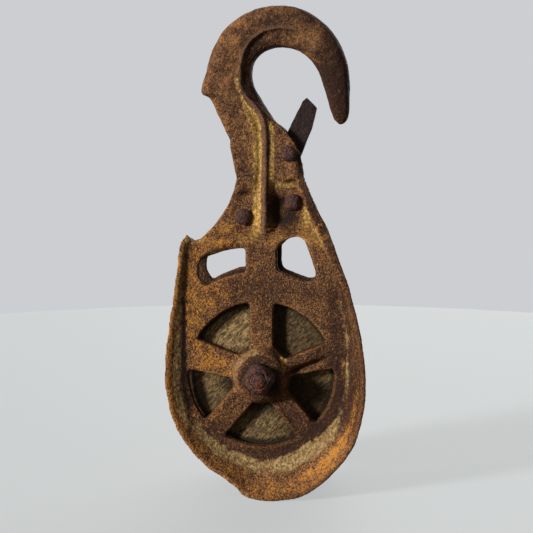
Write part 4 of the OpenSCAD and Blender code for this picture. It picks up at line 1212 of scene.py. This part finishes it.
stage = {"floorZ": -0.3464, "floorRadius": 0.95, "floorTurns": 128, "floorPaint": linear(112, 114, 114),
         "floorColor": linear(178, 180, 180), "floorGlow": 1.0,
         "skyColor": linear(204, 206, 209), "fill": 0.085, "key": 5.0, "keySoft": 11.0,
         "keyFrom": (-1.35, -1.0, 0.5), "back": 1.8, "backSoft": 60.0,
         "backFrom": (0.3, 1.0, 0.35)}
turns = stage["floorTurns"]
turn = np.arange(turns) / turns * 2 * math.pi
rim = np.stack([stage["floorRadius"] * np.cos(turn), stage["floorRadius"] * np.sin(turn), 0 * turn], 1)
floorPoints = np.vstack([rim, [[0, 0, 0]]]) + [0, 0, stage["floorZ"]]
floorFaces = np.stack([np.full(turns, turns), np.arange(turns), (np.arange(turns) + 1) % turns], 1)
floor = makeMesh("pale_floor", floorPoints, floorFaces.tolist(), False)
floorMaterial, floorTree, floorSurface, _ = startMaterial("paleFloor", 0.2)
floorSurface["Base Color"].default_value = stage["floorPaint"]
floorSurface["Roughness"].default_value = 0.7
floorSurface["Emission Color"].default_value = stage["floorColor"]
# The floor's own glow is for the camera alone, so it puts no light on the pulley
floorRays = floorTree.nodes.new("ShaderNodeLightPath").outputs["Is Camera Ray"]
feed(floorTree, floorSurface["Emission Strength"], times(floorTree, floorRays, stage["floorGlow"]))
dress(floor, floorMaterial)

world = bpy.data.worlds.new("studio")
bpy.context.scene.world = world
world.use_nodes = True
sky = world.node_tree
sky.nodes.clear()
rays = sky.nodes.new("ShaderNodeLightPath").outputs
mirrored = maths(sky, "MAXIMUM", rays["Is Glossy Ray"], rays["Is Transmission Ray"])
seen = maths(sky, "MAXIMUM", rays["Is Camera Ray"], mirrored)
lit = shaderNode(sky, "ShaderNodeBackground", {"Color": (1, 1, 1, 1), "Strength": stage["fill"]})
shown = shaderNode(sky, "ShaderNodeBackground", {"Color": stage["skyColor"], "Strength": 1.0})
blendSky = shaderNode(sky, "ShaderNodeMixShader", {0: seen, 1: lit.outputs[0], 2: shown.outputs[0]})
shaderNode(sky, "ShaderNodeOutputWorld", {"Surface": blendSky.outputs[0]})

# The key comes from the front left, and a softer lamp lights the back and the right side
for lamp in ("key", "back"):
    sun = bpy.data.lights.new(lamp, "SUN")
    sun.energy = stage[lamp]
    sun.angle = math.radians(stage[lamp + "Soft"])
    holder = bpy.data.objects.new(lamp, sun)
    holder.rotation_euler = (-Vector(stage[lamp + "From"])).to_track_quat("-Z", "Y").to_euler()
    bpy.context.scene.collection.objects.link(holder)

view = {"place": (0.0735, -0.9757, -0.0501), "target": (-0.0097, -0.025, -0.1673), "fov": 24.07}
cameraData = bpy.data.cameras.new("camera")
cameraData.sensor_width = 36
cameraData.lens = 18 / math.tan(math.radians(view["fov"] / 2))
cameraData.clip_start = 0.05
camera = bpy.data.objects.new("camera", cameraData)
camera.location = view["place"]
gaze = Vector(view["target"]) - Vector(view["place"])
camera.rotation_euler = gaze.to_track_quat("-Z", "Y").to_euler()
bpy.context.scene.collection.objects.link(camera)
bpy.context.scene.camera = camera
bpy.context.scene.view_settings.view_transform = "Standard"
log("stage is set")
